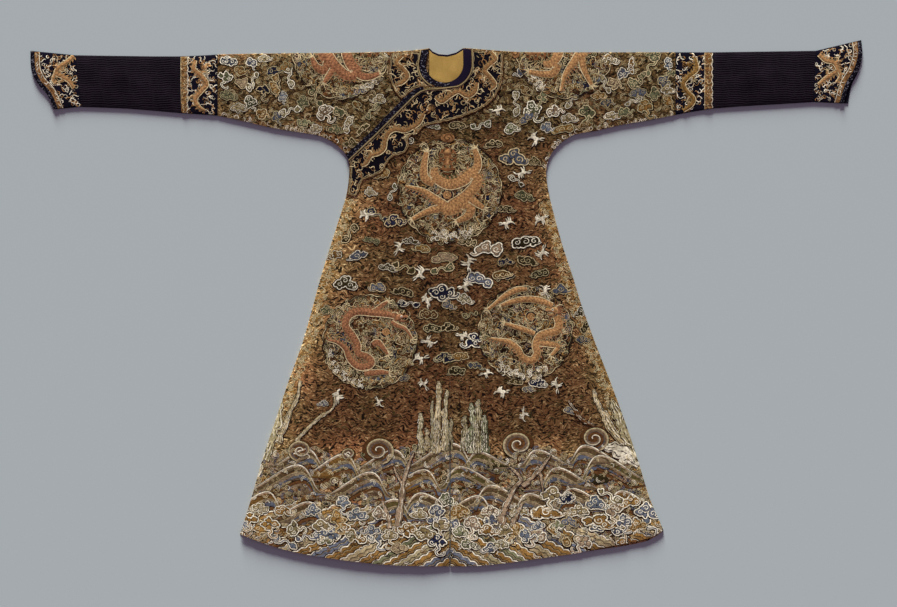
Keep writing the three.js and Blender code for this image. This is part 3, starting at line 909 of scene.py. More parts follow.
@dataclass(frozen=True)
class Finish:
    """What every finish shares: its name, and dull thread.

    Attributes:
        name: The material's name.
        age: Size in metres and strength of the uneven fading.
        flecks: Worn threads in the weave.
        strength: Of the weave's painted shade in its grooves.
        weft: Pitch of the wefts.
    """

    name: str
    age: tuple[float, float] = (0.05, 0.12)
    flecks: float = 0.3
    strength: float = 0.3
    weft: float = 1.1 * MM

    def build(self, weave: Tree, ageing: Tree) -> Material:
        """Makes the material.

        Args:
            weave: The group of woven threads.
            ageing: The group of uneven fading.

        Returns:
            The material.
        """
        material = bpy.data.materials.new(self.name)
        material.use_nodes = True
        net = Net(material.node_tree)
        shader = net.tree.nodes["Principled BSDF"]
        shader.inputs["Roughness"].default_value = 0.8
        shader.inputs["Specular IOR Level"].default_value = 0.02
        age = net.group(ageing, dict(zip(("Patch size", "Amount"), self.age)))
        woven = {"Weft pitch": self.weft, "Strength": self.strength, "Flecks": self.flecks}
        cloth = net.group(weave, woven)
        # The weave's Shade is painted shade in its grooves, on top of its bump.
        colour = net.shaded(self.colour(net, age.outputs), cloth.outputs["Shade"])
        net.join(colour, shader.inputs["Base Color"])
        if self.bump():
            inputs = {"Height": cloth.outputs["Height"], "Distance": self.bump(), "Strength": 1.0}
            net.join(net.add("Bump", inputs).outputs[0], shader.inputs["Normal"])
        return material

    def bump(self) -> float:
        """Depth of the weave's bump."""
        return 0.2 * MM

    def colour(self, net: Net, age: bpy.types.bpy_prop_collection) -> Socket:
        """The faded colour under the weave, from the material's net and the fading's outputs."""
        raise NotImplementedError


@dataclass(frozen=True)
class ThreadFinish(Finish):
    """Embroidery thread: each corner's own colour, with fine threads and wear in it."""

    age: tuple[float, float] = (0.03, 0.22)
    flecks: float = 0.35

    def bump(self) -> float:
        """None: the relief is in the mesh."""
        return 0.0

    def colour(self, net: Net, age: bpy.types.bpy_prop_collection) -> Socket:
        """The thread's colour, faded, and darker where it is worn."""
        own = net.add("Attribute", attribute_name="Thread").outputs["Color"]
        worn = net.noise(net.place((170, 230, 90)), 1, 2, 0.6)
        worn = net.maths("MULTIPLY_ADD", worn, 2.2, -0.2)
        worn = net.add("Clamp", {0: worn, 1: 0.4, 2: 1.2}).outputs[0]
        return net.shaded(own, net.maths("MULTIPLY", age["Shade"], worn))


@dataclass(frozen=True)
class BrocadeFinish(Finish):
    """The brown ground: rows of small wavy dashes, redder in the middle and olive at the sides."""

    age: tuple[float, float] = (0.16, 0.16)

    STOPS = (0.02, 0.30, 0.52, 0.74, 1.0)
    RED = ("160d08", "2f1c0f", "5a3923", "725034", "a0825a")
    OLIVE = ("120e08", "2b2110", "4a3820", "665032", "a8956c")
    ROWS = 8 * MM
    # Dark and light dashes: stretch along X, shift, level, softness, strength and pull to the rows.
    DASHES = ((125, 3.0, 0.46, -0.05, -0.62, -0.045), (130, 9.0, 0.57, 0.05, 0.26, 0.02))

    def bump(self) -> float:
        """Depth of the weave's bump."""
        return 0.25 * MM

    def colour(self, net: Net, age: bpy.types.bpy_prop_collection) -> Socket:
        """Dashes on broad drifts, through a red and an olive ramp, lighter at the robe's edges."""
        at = net.here()
        bend = net.noise(net.place((24, 20, 10), at))
        sway = net.add("CombineXYZ", {1: net.maths("MULTIPLY", bend, 0.05)}).outputs[0]
        swayed = net.add("VectorMath", {0: at, 1: sway}, operation="ADD").outputs[0]
        broad = net.noise(net.place((50, 110, 40), swayed, (5, 2, 0)), 1, 3, 0.6)
        value = net.maths("MULTIPLY_ADD", broad, 0.8, 0.17)
        up = net.maths("MULTIPLY", net.add("SeparateXYZ", {0: swayed}).outputs[1], 2 * math.pi / self.ROWS)
        rows = net.maths("SINE", net.maths("MULTIPLY_ADD", bend, 9.0, up))
        for stretch, shift, level, soft, amount, pull in self.DASHES:
            dash = net.noise(net.place((stretch, 330, 50), swayed, (shift, 3, 0)), detail=1)
            dash = net.maths("MULTIPLY_ADD", rows, pull, dash)
            there = net.maths("DIVIDE", net.maths("SUBTRACT", dash, level), soft)
            value = net.maths("MULTIPLY_ADD", net.add("Clamp", {0: there}).outputs[0], amount, value)
        ramps = [net.ramp(value, self.STOPS, codes) for codes in (self.RED, self.OLIVE)]
        marks = ("Edge", "Olive")
        edge, olive = (net.add("Attribute", attribute_name=mark).outputs["Fac"] for mark in marks)
        drift = net.maths("MULTIPLY_ADD", net.maths("SUBTRACT", age["Drift"], 0.5), 3.2, 0.35)
        drift = net.add("Clamp", {0: net.maths("MULTIPLY_ADD", olive, 0.9, drift)}).outputs[0]
        return net.shaded(net.mix(drift, *ramps), net.maths("MULTIPLY_ADD", edge, 3.4, age["Shade"]))


@dataclass(frozen=True)
class PlainFinish(Finish):
    """A ground of one colour that drifts between two shades.

    Attributes:
        dark: Darker shade.
        light: Lighter shade.
        speck: Colour of scattered specks, or none.
        speck_share: About how much of the cloth they take up.
    """

    dark: str = "101010"
    light: str = "202020"
    speck: str = ""
    speck_share: float = 0.2

    def colour(self, net: Net, age: bpy.types.bpy_prop_collection) -> Socket:
        """The two shades drifting into each other, with specks if there are any."""
        colour = net.mix(age["Drift"], (*linear(self.dark), 1), (*linear(self.light), 1))
        if self.speck:
            spots = net.noise(net.place((210, 260, 100)), detail=1)
            level = (1 - self.speck_share * 0.9) * 0.66
            inputs = {"Value": spots, "From Min": level, "From Max": level + 0.06}
            there = net.add("MapRange", inputs).outputs[0]
            colour = net.mix(there, colour, (*linear(self.speck), 1))
        return net.shaded(colour, age["Shade"])


# ---------------------------------------------------------------- figures

Box = Sequence[float]  # lowest x and y, then highest


def evenly(line: Array, step: float) -> Array:
    """A line (n, 2 or more) with new points a step apart; every column is interpolated along it."""
    length = np.concatenate([[0], np.cumsum(np.linalg.norm(np.diff(line[:, :2], axis=0), axis=1))])
    at = np.linspace(0, length[-1], max(3, int(length[-1] / step) + 1))
    return np.column_stack([np.interp(at, length, column) for column in line.T])


def curls(
    at: Array,
    radius: float | Array,
    turn: float | Array,
    hand: float | Array,
    thread: Thread,
    width: float,
    shade: float | Array,
    rise: float,
    turns: float = 1.25,
    points: int = 9,
    shrink: float = 0.82,
) -> Patch:
    """Spirals of thread.

    A point at t from 0 to 1 lies at the radius radius * (1 - shrink t) and the angle
    turn + hand * 2 pi turns t about the curl's middle.

    Args:
        at: Middles, (k, 2).
        radius: Outer radius, one or one for each curl.
        turn: Angle of the outer end, radians, one or one for each.
        hand: 1 or -1, which way it winds, one or one for each.
        thread: The thread.
        width: Width of the line.
        shade: Shade, one or one for each.
        rise: Height above the cloth, mm.
        turns: Turns of the spiral.
        points: Points along each.
        shrink: How much of the radius is lost along it.

    Returns:
        The patch.
    """
    radius, turn, hand, tint = (np.broadcast_to(v, len(at))[:, None] for v in (radius, turn, hand, shade))
    t = np.linspace(0, 1, points)
    r = radius * (1 - shrink * t)
    line = at[:, None] + r[..., None] * heading(turn + hand * (2 * math.pi * turns * t))
    return ribbon(line, width * (1 - 0.35 * t), thread, tint, rise, 0.15, 2)


def field_of(
    inside: Field, box: Box, thread: Thread, rise: float, shade: float | Field, step: float = 4 * MM
) -> Patch:
    """A flat field of thread where a distance field is negative, made of small squares.

    Args:
        inside: The distance field.
        box: Plan box that holds it.
        thread: The thread.
        rise: Height above the cloth, mm.
        shade: Shade, one number or worked out from the points.
        step: Size of the squares.

    Returns:
        The patch.
    """
    x = np.arange(box[0], box[2] + step, step)
    y = np.arange(box[1], box[3] + step, step)
    xy = np.stack(np.meshgrid(x, y, indexing="ij"), -1).reshape(-1, 2)
    tint = shade(xy) if callable(shade) else shade
    return clipped(on_grid(xy, rise, tint, thread, strip_faces(1, len(x), len(y))), inside)


def scattered(box: Box, gap: float, rng: Chance, keep: Field) -> Array:
    """Points about a gap apart: a grid of offset rows, each point moved by up to 0.35 of the gap.

    Args:
        box: Plan box to fill.
        gap: Spacing.
        rng: Source of chance.
        keep: Says of points which to keep.

    Returns:
        The points kept, (n, 2).
    """
    x = np.arange(box[0], box[2], gap)
    y = np.arange(box[1], box[3], gap * 0.87)
    grid = np.stack(np.meshgrid(x, y, indexing="ij"), -1)
    grid[:, 1::2, 0] += gap / 2
    points = grid.reshape(-1, 2) + rng.uniform(-0.35, 0.35, (grid.size // 2, 2)) * gap
    return points[keep(points)]


@dataclass(frozen=True)
class Strewn:
    """Small figures strewn over a field, one thread after another. All lengths are in mm.

    Attributes:
        gap: Spacing.
        threads: The threads.
        shade: Least and greatest shade.
        rise: Height above the cloth; each thread lies 0.03 higher than the one before.
        width: Width of a line.
    """

    gap: float
    threads: tuple[Thread, ...]
    shade: tuple[float, float] = (0.3, 1.3)
    rise: float = 0.3
    width: float = 1.9

    CUT = False  # whether the figures are cut at the field's edge

    def strew(self, inside: Field, box: Box, rng: Chance) -> list[Patch]:
        """Makes the figures.

        Args:
            inside: Distance field, negative where they may lie.
            box: Plan box that holds the field.
            rng: Source of chance.

        Returns:
            The patches.
        """
        parts = []
        for n, thread in enumerate(self.threads):
            at = scattered(box, self.gap * MM, rng, lambda p: inside(p) < -2 * MM)
            made = self.figures(at, thread, self.rise + 0.03 * n, rng)
            parts += [clipped(part, lambda p: inside(p) + 1 * MM) for part in made] if self.CUT else made
        return parts

    def figures(self, at: Array, thread: Thread, rise: float, rng: Chance) -> list[Patch]:
        """Makes the figures of one thread, in the way of its kind.

        Args:
            at: Their middles.
            thread: The thread.
            rise: Height above the cloth.
            rng: Source of chance.

        Returns:
            The patches.
        """
        raise NotImplementedError


@dataclass(frozen=True)
class Swirls(Strewn):
    """Sets of nested arcs, like the curls of a swirling cloud.

    Attributes:
        size: Least and greatest radius.
        nested: Arcs in a set.
        turns: Turns of each arc.
        shrink: How much of its radius is lost along it.
    """

    size: tuple[float, float] = (5, 10)
    nested: int = 2
    turns: float = 0.55
    shrink: float = 0.25

    def figures(self, at: Array, thread: Thread, rise: float, rng: Chance) -> list[Patch]:
        """Sets of arcs of one thread about middles (k, 2), each arc inside the one before."""
        k, width = len(at), self.width * MM
        radius, turn = rng.uniform(self.size[0] * MM, self.size[1] * MM, k), rng.uniform(0, 2 * math.pi, k)
        hand, shade = rng.choice([-1.0, 1.0], k), rng.uniform(*self.shade, k)
        parts = []
        for j in range(self.nested):
            size = radius - j * 2.3 * width
            held = size > 1.2 * width
            each = (values[held] for values in (at, size, turn + 0.25 * j, hand))
            look = (shade[held], rise, self.turns, 9, self.shrink)
            parts.append(curls(*each, thread, width, *look))
        return parts


@dataclass(frozen=True)
class Scrolls(Strewn):
    """Short S-shaped scrolls.

    A scroll's direction at t from -1 to 1 along it is its own angle + bend * t**2, so that it
    hooks over one way at one end and the other way at the other.

    Attributes:
        length: Least and greatest length.
        bend: Least and greatest bend, radians.
    """

    length: tuple[float, float] = (12, 20)
    bend: tuple[float, float] = (2.2, 3.2)

    CUT = True

    def figures(self, at: Array, thread: Thread, rise: float, rng: Chance) -> list[Patch]:
        """Scrolls of one thread about middles (k, 2)."""
        k = len(at)
        t = np.linspace(-1, 1, 13)
        length = rng.uniform(self.length[0] * MM, self.length[1] * MM, k)
        bend = rng.uniform(*self.bend, k) * rng.choice([-1, 1], k)
        facing = rng.uniform(0, 2 * math.pi, k)[:, None] + bend[:, None] * t**2
        run = np.cumsum(heading(facing), axis=1) * (length / len(t))[:, None, None]
        run += at[:, None] - run.mean(axis=1, keepdims=True)
        shade = rng.uniform(*self.shade, (k, 1))
        return [ribbon(run, self.width * MM * (1.15 - 0.7 * np.abs(t)), thread, shade, rise, 0.3, 3)]


class Shape(Enum):
    """Small figures: clouds as lobes (x, y, radius) and the points along a tail, in mm, and birds."""

    HEAD = (
        ((-9, 1, 9), (9, 1, 9), (0, 9, 9), (0, -3, 7)),
        ((0, -6), (4, -14), (-3, -21), (3, -28), (13, -27), (13, -21)),
    )
    LEAF = (((0, 8, 9.5), (-4, -3, 9), (5, -3, 8)), ((0, -9), (-4, -16), (2, -21), (-1, -28)))
    BANK = (((-12, 0, 10), (2, 3, 11), (14, 0, 9)), ((14, -5), (22, -6), (28, -2)))
    HEAP = (
        ((-12, -1, 10), (11, 0, 10), (0, 8, 10), (2, -5, 8)),
        ((-12, -7), (-22, -9), (-28, -3), (-24, 0)),
    )
    WISP = (((-19, 3, 8.5), (18, -2, 8)), ((-19, -4), (-8, -4), (-2, 3), (6, 5), (12, -3), (18, -7)))
    STACK = "two flat clouds, one over the other"
    BIRD = "a bird in flight"
    BAT = "a bat"


HEAD, LEAF, BANK, HEAP, WISP, STACK, BIRD, BAT = Shape


@dataclass(frozen=True)
class CloudLook:
    """How light the threads of a cloud are.

    Attributes:
        tones: Shade of the outline, least and greatest.
        fillings: Shade of the filling, least and greatest.
        lines: Threads of the outline, one picked by chance.
    """

    tones: tuple[float, float] = (0.5, 1.2)
    fillings: tuple[float, float] = (0.1, 0.75)
    lines: tuple[Thread, ...] = (SAND, SAND, BONE, CREAM)


class Cloudwork:
    """Makes the small figures, in millimetres about their middle, each a little different."""

    # Feathers of a bird: three points, then the width.
    FEATHERS = (
        (-19, 6, -10, 8, -2, 1, 2.6), (-3, 1, 5, -1, 11, -4, 5.6), (-2, 2, -6, 8, -1, 17, 3.4),
        (0, 2, -2, 9, 4, 17, 3.2), (3, 1, 2, 8, 9, 13, 3.0), (1, -1, -3, -6, -10, -11, 3.2),
        (3, -2, 0, -8, -4, -13, 2.8), (9, -4, 15, -3, 22, -6, 2.4), (9, -4, 14, -8, 20, -11, 2.2),
    )
    JITTER = (2.2, 2.0, 1.7)  # how far a lobe's x, y and radius may differ
    LARGE = 8.6  # lobes with a greater radius hold a curl

    def __init__(self, seed: int) -> None:
        """Seeds the small differences and takes up the usual look."""
        self.rng = np.random.default_rng(seed)
        self.look = CloudLook()

    def cloud(self, shape: Shape, fill: Thread, line: Thread | None = None, petals: int = 0) -> Patch:
        """Lobes and a tail that run together inside one outline, with a curl in each large lobe.

        Discs of the outline's thread lie on wider dark discs shifted down and to the right, a dark edge
        that is also a painted drop shadow, and under smaller dark discs and still smaller ones of the
        filling, so that the outline shows only round the whole.

        Args:
            shape: Which lobes and tail.
            fill: Thread inside.
            line: Thread of the outline and curls, or none for one picked by chance.
            petals: Small lobes round each large one.

        Returns:
            The patch, in mm.
        """
        rng = self.rng
        lobes, tail = (np.array(part, float) for part in shape.value)
        lobes += rng.uniform(-1, 1, lobes.shape) * self.JITTER
        at, r = lobes[:, :2], lobes[:, 2]
        run = smooth(tail + rng.uniform(-1.2, 1.2, tail.shape), 4)
        taper = np.linspace(1, 0.55, len(run))
        pale = fill in (CREAM, SAND, BONE, ICE)
        line = line or (CREAM if pale else self.look.lines[rng.integers(4)])
        tone = rng.uniform(*self.look.tones)
        big = r > self.LARGE
        if petals:
            beside = 0.78 * r[:, None, None] * heading(rng.uniform(0, 2 * math.pi, (len(r), petals)))
            at = np.vstack([at, (at[:, None] + beside).reshape(-1, 2)])
            r = np.concatenate([r, np.repeat(0.56 * r, petals)])
            big = np.concatenate([big, np.zeros(len(r) - len(big), bool)])
        start, hand = rng.uniform(0, 6.3, big.sum()), rng.choice([-1.0, 1.0], big.sum())
        body = rng.uniform(-0.1, 0.3) if pale else rng.uniform(*self.look.fillings)
        patch = merged(
            [
                # Wider dark discs and tail, shifted 0.5 mm right and 0.8 mm down: dark edge and painted drop
                # shadow.
                discs(at + (0.5, -0.8), r + 1.7, BARK, 0.15, 0.18),
                ribbon(run + (0.5, -0.8), 7 * taper + 3.2, BARK, 0.15, 0.18, 0.05, 2),
                discs(at, r, line, tone, 0.40),
                ribbon(run, 7 * taper, line, tone * 0.95, 0.38, 0.05, 2),
                ribbon(run, 2.6 * taper, fill, body * 0.8, 0.50, 0.05, 2),
                discs(at, r - 2.1, BARK, 0.3, 0.48),
                discs(at, r - 3.3, fill, body, 0.55, 0.2),
                curls(at[big], (r[big] - 3.0) * 0.8, start, hand, line, 1.7, tone * 0.9, 0.85, 1.15, 11),
            ]
        )
        patch.xy[:, 1] *= 0.82 if shape is BANK else 0.92
        return patch

    def bird(self, plump: float) -> Patch:
        """A ragged bird of single feathers, about 38 mm long, plump times the usual width, over a painted
        drop shadow.
        """
        strokes = np.array(self.FEATHERS)
        strokes[:, :6] *= self.rng.uniform(0.8, 1.15, (len(strokes), 1))
        lines = np.stack([smooth(row[:6].reshape(3, 2), 4) for row in strokes])
        width = strokes[:, 6:] * np.array([0.6, 0.9, 1.1, 1.2, 1.2, 1.1, 0.9, 0.6, 0.2]) * plump
        # The feathers again in dark thread, wider and shifted 0.6 mm right and 1.1 mm down: dark edge and
        # painted drop shadow.
        dark = ribbon(lines + (0.6, -1.1), width + 1.6, BARK, 0.1, 0.2, 0.1, 2)
        shade = self.rng.uniform(0.2, 0.95, (len(strokes), 1))
        return merged([dark, ribbon(lines, width, CREAM, shade, 0.55, 0.5, 3)])

    def figure(self, shape: Shape, fill: Thread) -> Patch:
        """Any of the shapes with its main thread, in mm."""
        if shape in (BIRD, BAT):
            return self.bird(1.5 if shape is BAT else 1)
        if shape is STACK:
            under = self.cloud(BANK, NAVY, petals=2).moved(3, -6)
            return merged([under, self.cloud(BANK, fill, petals=2).raised(0.4)])
        return self.cloud(shape, fill, petals=2)

    def spread(self, spots: Sequence[tuple], scale: float = 1, lift: float = 0) -> list[Patch]:
        """Figures in place on the cloth.

        Args:
            spots: For each, x and y in mm, shape, thread, size as a share of the usual, and turn in
                degrees if it has one.
            scale: What all the sizes are multiplied by.
            lift: Height added to all, mm.

        Returns:
            The patches.
        """
        made = []
        for n, (x, y, shape, fill, size, *turn) in enumerate(spots):
            patch = self.figure(shape, fill).raised(lift + 0.05 * (n % 6))
            angle = turn[0] if turn else self.rng.uniform(-12, 12)
            made.append(patch.moved(x * MM, y * MM, size * scale * MM, angle, n % 2 == 1))
        return made


Stations = tuple[tuple[float, float, float], ...]  # x, y and width along a body or a limb


@dataclass(frozen=True)
class Dragon:
    """A dragon: a scaled body, limbs with claws, and a head, in shares of its roundel's radius.

    Attributes:
        body: Stations along the body.
        limbs: For each limb, its stations, ending at the paw.
        head: Middle, size and turn of the head.
        frontal: Whether the head is seen from the front.
        flip: Whether a head in profile looks to +x.
        thread: Thread of the body.
        fins: Side of the body that the fins are on, 1 or -1.
        flame: Thread of the fins, mane and tufts.
        halo: How much wider the dark line round it is, mm.
    """

    body: Stations = ()
    limbs: tuple[Stations, ...] = ()
    head: tuple[float, float, float, float] = (0, 0, 0, 0)
    frontal: bool = False
    flip: bool = False
    thread: Thread = COPPER
    fins: int = 1
    flame: Thread = EMBER
    halo: float = 5

    def build(self, scale: float) -> Patch:
        """The dragon, in units of a scale that says how long they will be."""
        parts = [self.limb(np.array(stations), scale) for stations in self.limbs]
        parts.append(self.scaled(np.array(self.body), scale, 0.55, True))
        head = self.face() if self.frontal else self.profile()
        return merged([*parts, head.moved(*self.head, self.flip)])

    def scaled(self, stations: Array, scale: float, rise: float, finned: bool) -> Patch:
        """A scaled run: bands of light and dark slant across it, with a light line at one edge.

        The shade at the distance s along it and the row j across it is
        0.05 + the fraction part of s / 9.6 mm + j / 3.2.

        Args:
            stations: Its stations, (n, 3).
            scale: Metres for each unit.
            rise: Height of its edges, mm.
            finned: Whether it has fins along one side.

        Returns:
            The patch, in units.
        """
        unit, rows, every = MM / scale, 7, 4
        run = evenly(smooth(stations), 2.4 * unit)
        line, width = run[:, :2], 1.08 * run[:, 2]
        side = normals(line)
        out = side * self.fins * width[:, None]
        saw = (np.arange(len(run))[:, None] * 2.4 / 9.6 + np.arange(rows)[None] / 3.2) % 1
        scales = ribbon(line, width, self.thread, 0.6, rise, 0.9, rows)
        parts = [
            ribbon(line, width + self.halo * unit, BARK, 0.25, rise - 0.3, 0.1, 2),
            replace(scales, shade=0.05 + saw.reshape(-1)),
            ribbon(line - out * 0.45, 2.0 * unit, SAND, 1.15, rise + 0.55, 0.2, 2),
            ribbon(line + out * 0.46, 1.3 * unit, SAND, 0.2, rise + 0.5, 0.1, 2),
        ]
        if finned:
            root = line[::every] + out[::every] * 0.5
            ahead = -crosswise(side[::every])
            tip = root + side[::every] * self.fins * (6 * unit) + ahead * (3.5 * unit)
            spikes = np.stack([root, (root + tip) / 2 + ahead * (0.6 * unit), tip], 1)
            taper = np.array([4.4, 3.0, 0.6]) * unit
            parts.append(ribbon(spikes, taper, self.flame, 0.8, rise + 0.1, 0.2, 2))
        return merged(parts)

    def limb(self, stations: Array, scale: float) -> Patch:
        """A limb with a paw of four claws and three tufts at the elbow."""
        end, before = stations[-1, :2], stations[-2, :2]
        ahead = math.atan2(*(end - before)[::-1])
        reach = 0.075 if scale > 60 * MM else 0.12
        bend = np.array([0, 0.5, 1.0])[None, :, None]
        out = heading(ahead + np.radians([-75, -28, 18, 62]))[:, None]
        claws = end + out * reach * 1.5 * bend + crosswise(out) * reach * 0.6 * bend**2
        out = heading(ahead + np.radians([140, 165, 195]))[:, None]
        tufts = stations[len(stations) // 2, :2] + out * reach * 2 * bend
        thin = np.array([0.034, 0.03, 0.006])
        return merged(
            [
                ribbon(tufts, thin * 0.8, self.flame, 0.8, 0.3, 0.3, 2),
                ribbon(claws, thin * 1.5, BARK, 0.2, 0.3, 0.1, 2),
                ribbon(claws, thin, SAND, 0.9, 0.6, 0.4, 3),
                self.scaled(stations, scale, 0.45, False),
            ]
        )

    @staticmethod
    def mane(first: float, last: float, locks: int, root: float, reach: float) -> Array:
        """Paths of wavy locks, (locks, 7, 2), that fan out between two angles in degrees."""
        out = heading(np.radians(np.linspace(first, last, locks)))[:, None]
        t = np.linspace(0, 1, 7)[None, :, None]
        return out * (root + reach * t) + crosswise(out) * 0.14 * np.sin(t * 7)

    @staticmethod
    def strand(
        points: Sequence[Sequence[float]], root: float, tip: float, shade: float, rise: float
    ) -> Patch:
        """A horn or whisker through points, that thins from its root to its tip."""
        line = smooth(points, 4)
        crown, rows = (0.3, 3) if root > 0.12 else (0.2, 2)
        return ribbon(line, np.linspace(root, tip, len(line)), SAND, shade, rise, crown, rows)

    def face(self) -> Patch:
        """A head seen from the front, two units wide: brow, eyes, nose, jaw, horns and mane."""
        mane = self.mane(-70, 250, 21, 0.6, 0.8)
        cheeks = smooth([(-0.3, -1.0), (-0.55, -0.6), (-0.62, 0.1), (-0.6, 0.7), (-0.3, 1.1), (0, 1.15)], 3)
        outline = np.vstack([cheeks, cheeks[-2::-1] * (-1, 1), [(0, -1.1)]])
        roots = (-0.5, -0.25, 0, 0.25, 0.5)
        beard = np.stack([smooth([(x, -0.9), (1.2 * x, -1.3), (1.7 * x, -1.6)], 3) for x in roots])
        parts = [
            ribbon(mane, np.linspace(0.24, 0.06, 7), BARK, 0.3, 0.4, 0.1, 2),
            ribbon(mane, np.linspace(0.12, 0.03, 7), SAND, np.linspace(0.0, 0.7, 7), 0.75, 0.4, 3),
            plate(circle(11, 0.5, 0.75) + (0, 1.95), COPPER, 0.2, 0.5, 0.8, 0.4, 0.6),
            curls(np.array([(0, 1.95)]), 0.36, 0, 1, RUST, 0.1, 0.3, 1.3),
            ribbon(beard, 0.17, MOSS, 0.6, 0.8, 0.2, 2),
            plate(outline * 1.1, BARK, 0.3, 0.3, 0.8, 0.1, 0.8),
            plate(outline, COPPER, 0.0, 0.15, 0.95, 0.5, 0.6),
            plate(circle(12, 0.36, 0.75) + (0, 0.78), COPPER, 0.2, 0.7, 0.95, 1.3, 0.5),
            plate(circle(12, 0.42, 0.6) + (0, -0.42), COPPER, 0.1, 0.45, 1.2, 0.4, 0.5),
            ribbon(np.array([(-0.02, 0.45), (0.02, 0.1), (-0.01, -0.2)]), 0.16, COPPER, 0.55, 1.45, 0.3, 3),
            ribbon(smooth([(-0.5, -0.72), (0, -0.86), (0.5, -0.72)], 4), 0.12, BARK, 0.2, 1.6, 0.1, 2),
            ribbon(np.array([(-0.34, -0.8), (0, -0.88), (0.34, -0.8)]), 0.06, SAND, 0.4, 1.7, 0.1, 2),
        ]
        for s in (-1, 1):
            rings = np.array([(0.44 * s, 0.48), (0.46 * s, -0.2), (0.17 * s, -0.42), (0.2 * s, 0.86)])
            sizes = np.array([0.2, 0.17, 0.12, 0.15])
            horn = [(0.3 * s, 1.05), (0.5 * s, 1.4), (0.85 * s, 1.5), (1.05 * s, 1.3)]
            whisker = [(0.4 * s, -0.5), (0.8 * s, -0.3), (1.0 * s, -0.6), (1.3 * s, -0.5)]
            parts += [
                self.strand(horn, 0.16, 0.05, 0.4, 1.0),
                curls(rings, sizes, 1.57, s, SAND, 0.07, 0.1, 1.7, 1.2),
                curls(rings, sizes * 0.7, 1.57, -s, BARK, 0.07, 0.3, 1.75, 0.8),
                plate(circle(9, 0.12, 0.7) + (0.3 * s, 0.16), NIGHT, 0.3, 0.3, 1.6, 0.1, 0.7),
                plate(circle(7, 0.05, 0.8) + (0.3 * s, 0.16), SAND, 0.5, 0.4, 1.76, 0.05, 0.7),
                self.strand(whisker, 0.1, 0.03, 0.3, 1.3),
            ]
        head = merged(parts)
        head.xy[:, 0] *= 1.18
        return head

    def profile(self) -> Patch:
        """A head in profile that looks to -x, two units long: open jaws, eye, horn and mane."""
        mane = self.mane(-55, 80, 9, 0.3, 1.1) + (0.25, 0)
        brow = [
            (0.65, -0.1), (0.5, 0.45), (0, 0.5), (-0.45, 0.28), (-0.8, 0.42), (-1.05, 0.25), (-0.95, 0.02),
        ]
        skull = np.vstack([smooth(brow, 3), [(-0.4, -0.02), (-0.1, -0.1), (0.2, -0.35)]])
        chin = [
            (0.35, -0.2), (0.0, -0.3), (-0.5, -0.36), (-0.8, -0.28), (-0.72, -0.46), (-0.2, -0.6),
            (0.3, -0.5),
        ]
        return merged(
            [
                ribbon(mane, np.linspace(0.26, 0.05, 7), BARK, 0.2, 0.4, 0.1, 2),
                ribbon(mane, np.linspace(0.16, 0.03, 7), self.flame, np.linspace(0.3, 0.9, 7), 0.75, 0.4, 3),
                plate(skull * 1.1, BARK, 0.2, 0.2, 0.85, 0.1, 0.8, centre=(-0.1, 0.15)),
                plate(smooth(chin, 2), self.thread, 0.9, 0.6, 0.95, 0.4, 0.7),
                plate(skull, self.thread, 1.0, 0.45, 1.0, 0.5, 0.7, centre=(-0.05, 0.15)),
                self.strand([(0.2, 0.4), (0.6, 0.75), (1.05, 0.8), (1.3, 0.65)], 0.18, 0.05, 1.0, 1.1),
                self.strand([(-0.95, 0.15), (-1.25, 0.3), (-1.3, 0.7), (-1.05, 0.95)], 0.09, 0.03, 1.0, 1.0),
                plate(circle(9, 0.15) + (-0.1, 0.22), CREAM, 1.0, 1.0, 1.55, 0.1, 0.7),
                plate(circle(7, 0.075) + (-0.12, 0.22), NIGHT, 0.2, 0.2, 1.7, 0.05, 0.7),
            ]
        )


# ---------------------------------------------------------------- the cut pieces


@dataclass(frozen=True)
class Cut:
    """How one piece was cut, and how its shell is made.

    Attributes:
        node: The frame's node.
        finish: Key of its finish.
        slot: The record's material slot.
        flat: Width and length that it was cut to.
        share: Its flat area as a share of width * length.
        rests_on: Nodes whose cloth it lies on.
        cell: Spacing of the corners across X and across Y.
        held: One of the holds.
    """

    node: str
    finish: str
    slot: str
    flat: tuple[float, float]
    share: float = 1.0
    rests_on: tuple[str, ...] = ()
    cell: tuple[float, float] = (6 * MM, 6 * MM)
    held: str = "laid"


BODY_CELL = (10 * MM, 10 * MM)
RIB_CELL = (9 * MM, 1.4 * MM)
LINING_CELL = (4 * MM, 4 * MM)
WALLS = (
    Cut("right_body", "brocade", "brocade", (0.63, 2.74), 0.66, (), BODY_CELL, "folded"),
    Cut("left_body", "brocade", "brocade", (0.61, 2.80), 0.68, (), BODY_CELL, "folded"),
    Cut("overlap", "brocade", "brocade", (0.57, 1.29), 0.72, ("right_body", "left_body"), BODY_CELL),
    Cut("band_right", "navy", "navy_brocade", (0.102, 0.32), held="folded"),
    Cut("band_left", "navy", "navy_brocade", (0.102, 0.33), held="folded"),
    Cut("lower_sleeve_right", "silk", "dark_silk", (0.286, 0.31), 0.98, (), RIB_CELL, "folded"),
    Cut("lower_sleeve_left", "silk", "dark_silk", (0.278, 0.31), 0.98, (), RIB_CELL, "folded"),
    Cut("cuff_right", "navy", "navy_brocade", (0.137, 0.32), 0.9, held="folded"),
    Cut("cuff_left", "navy", "navy_brocade", (0.134, 0.34), 0.9, held="folded"),
)
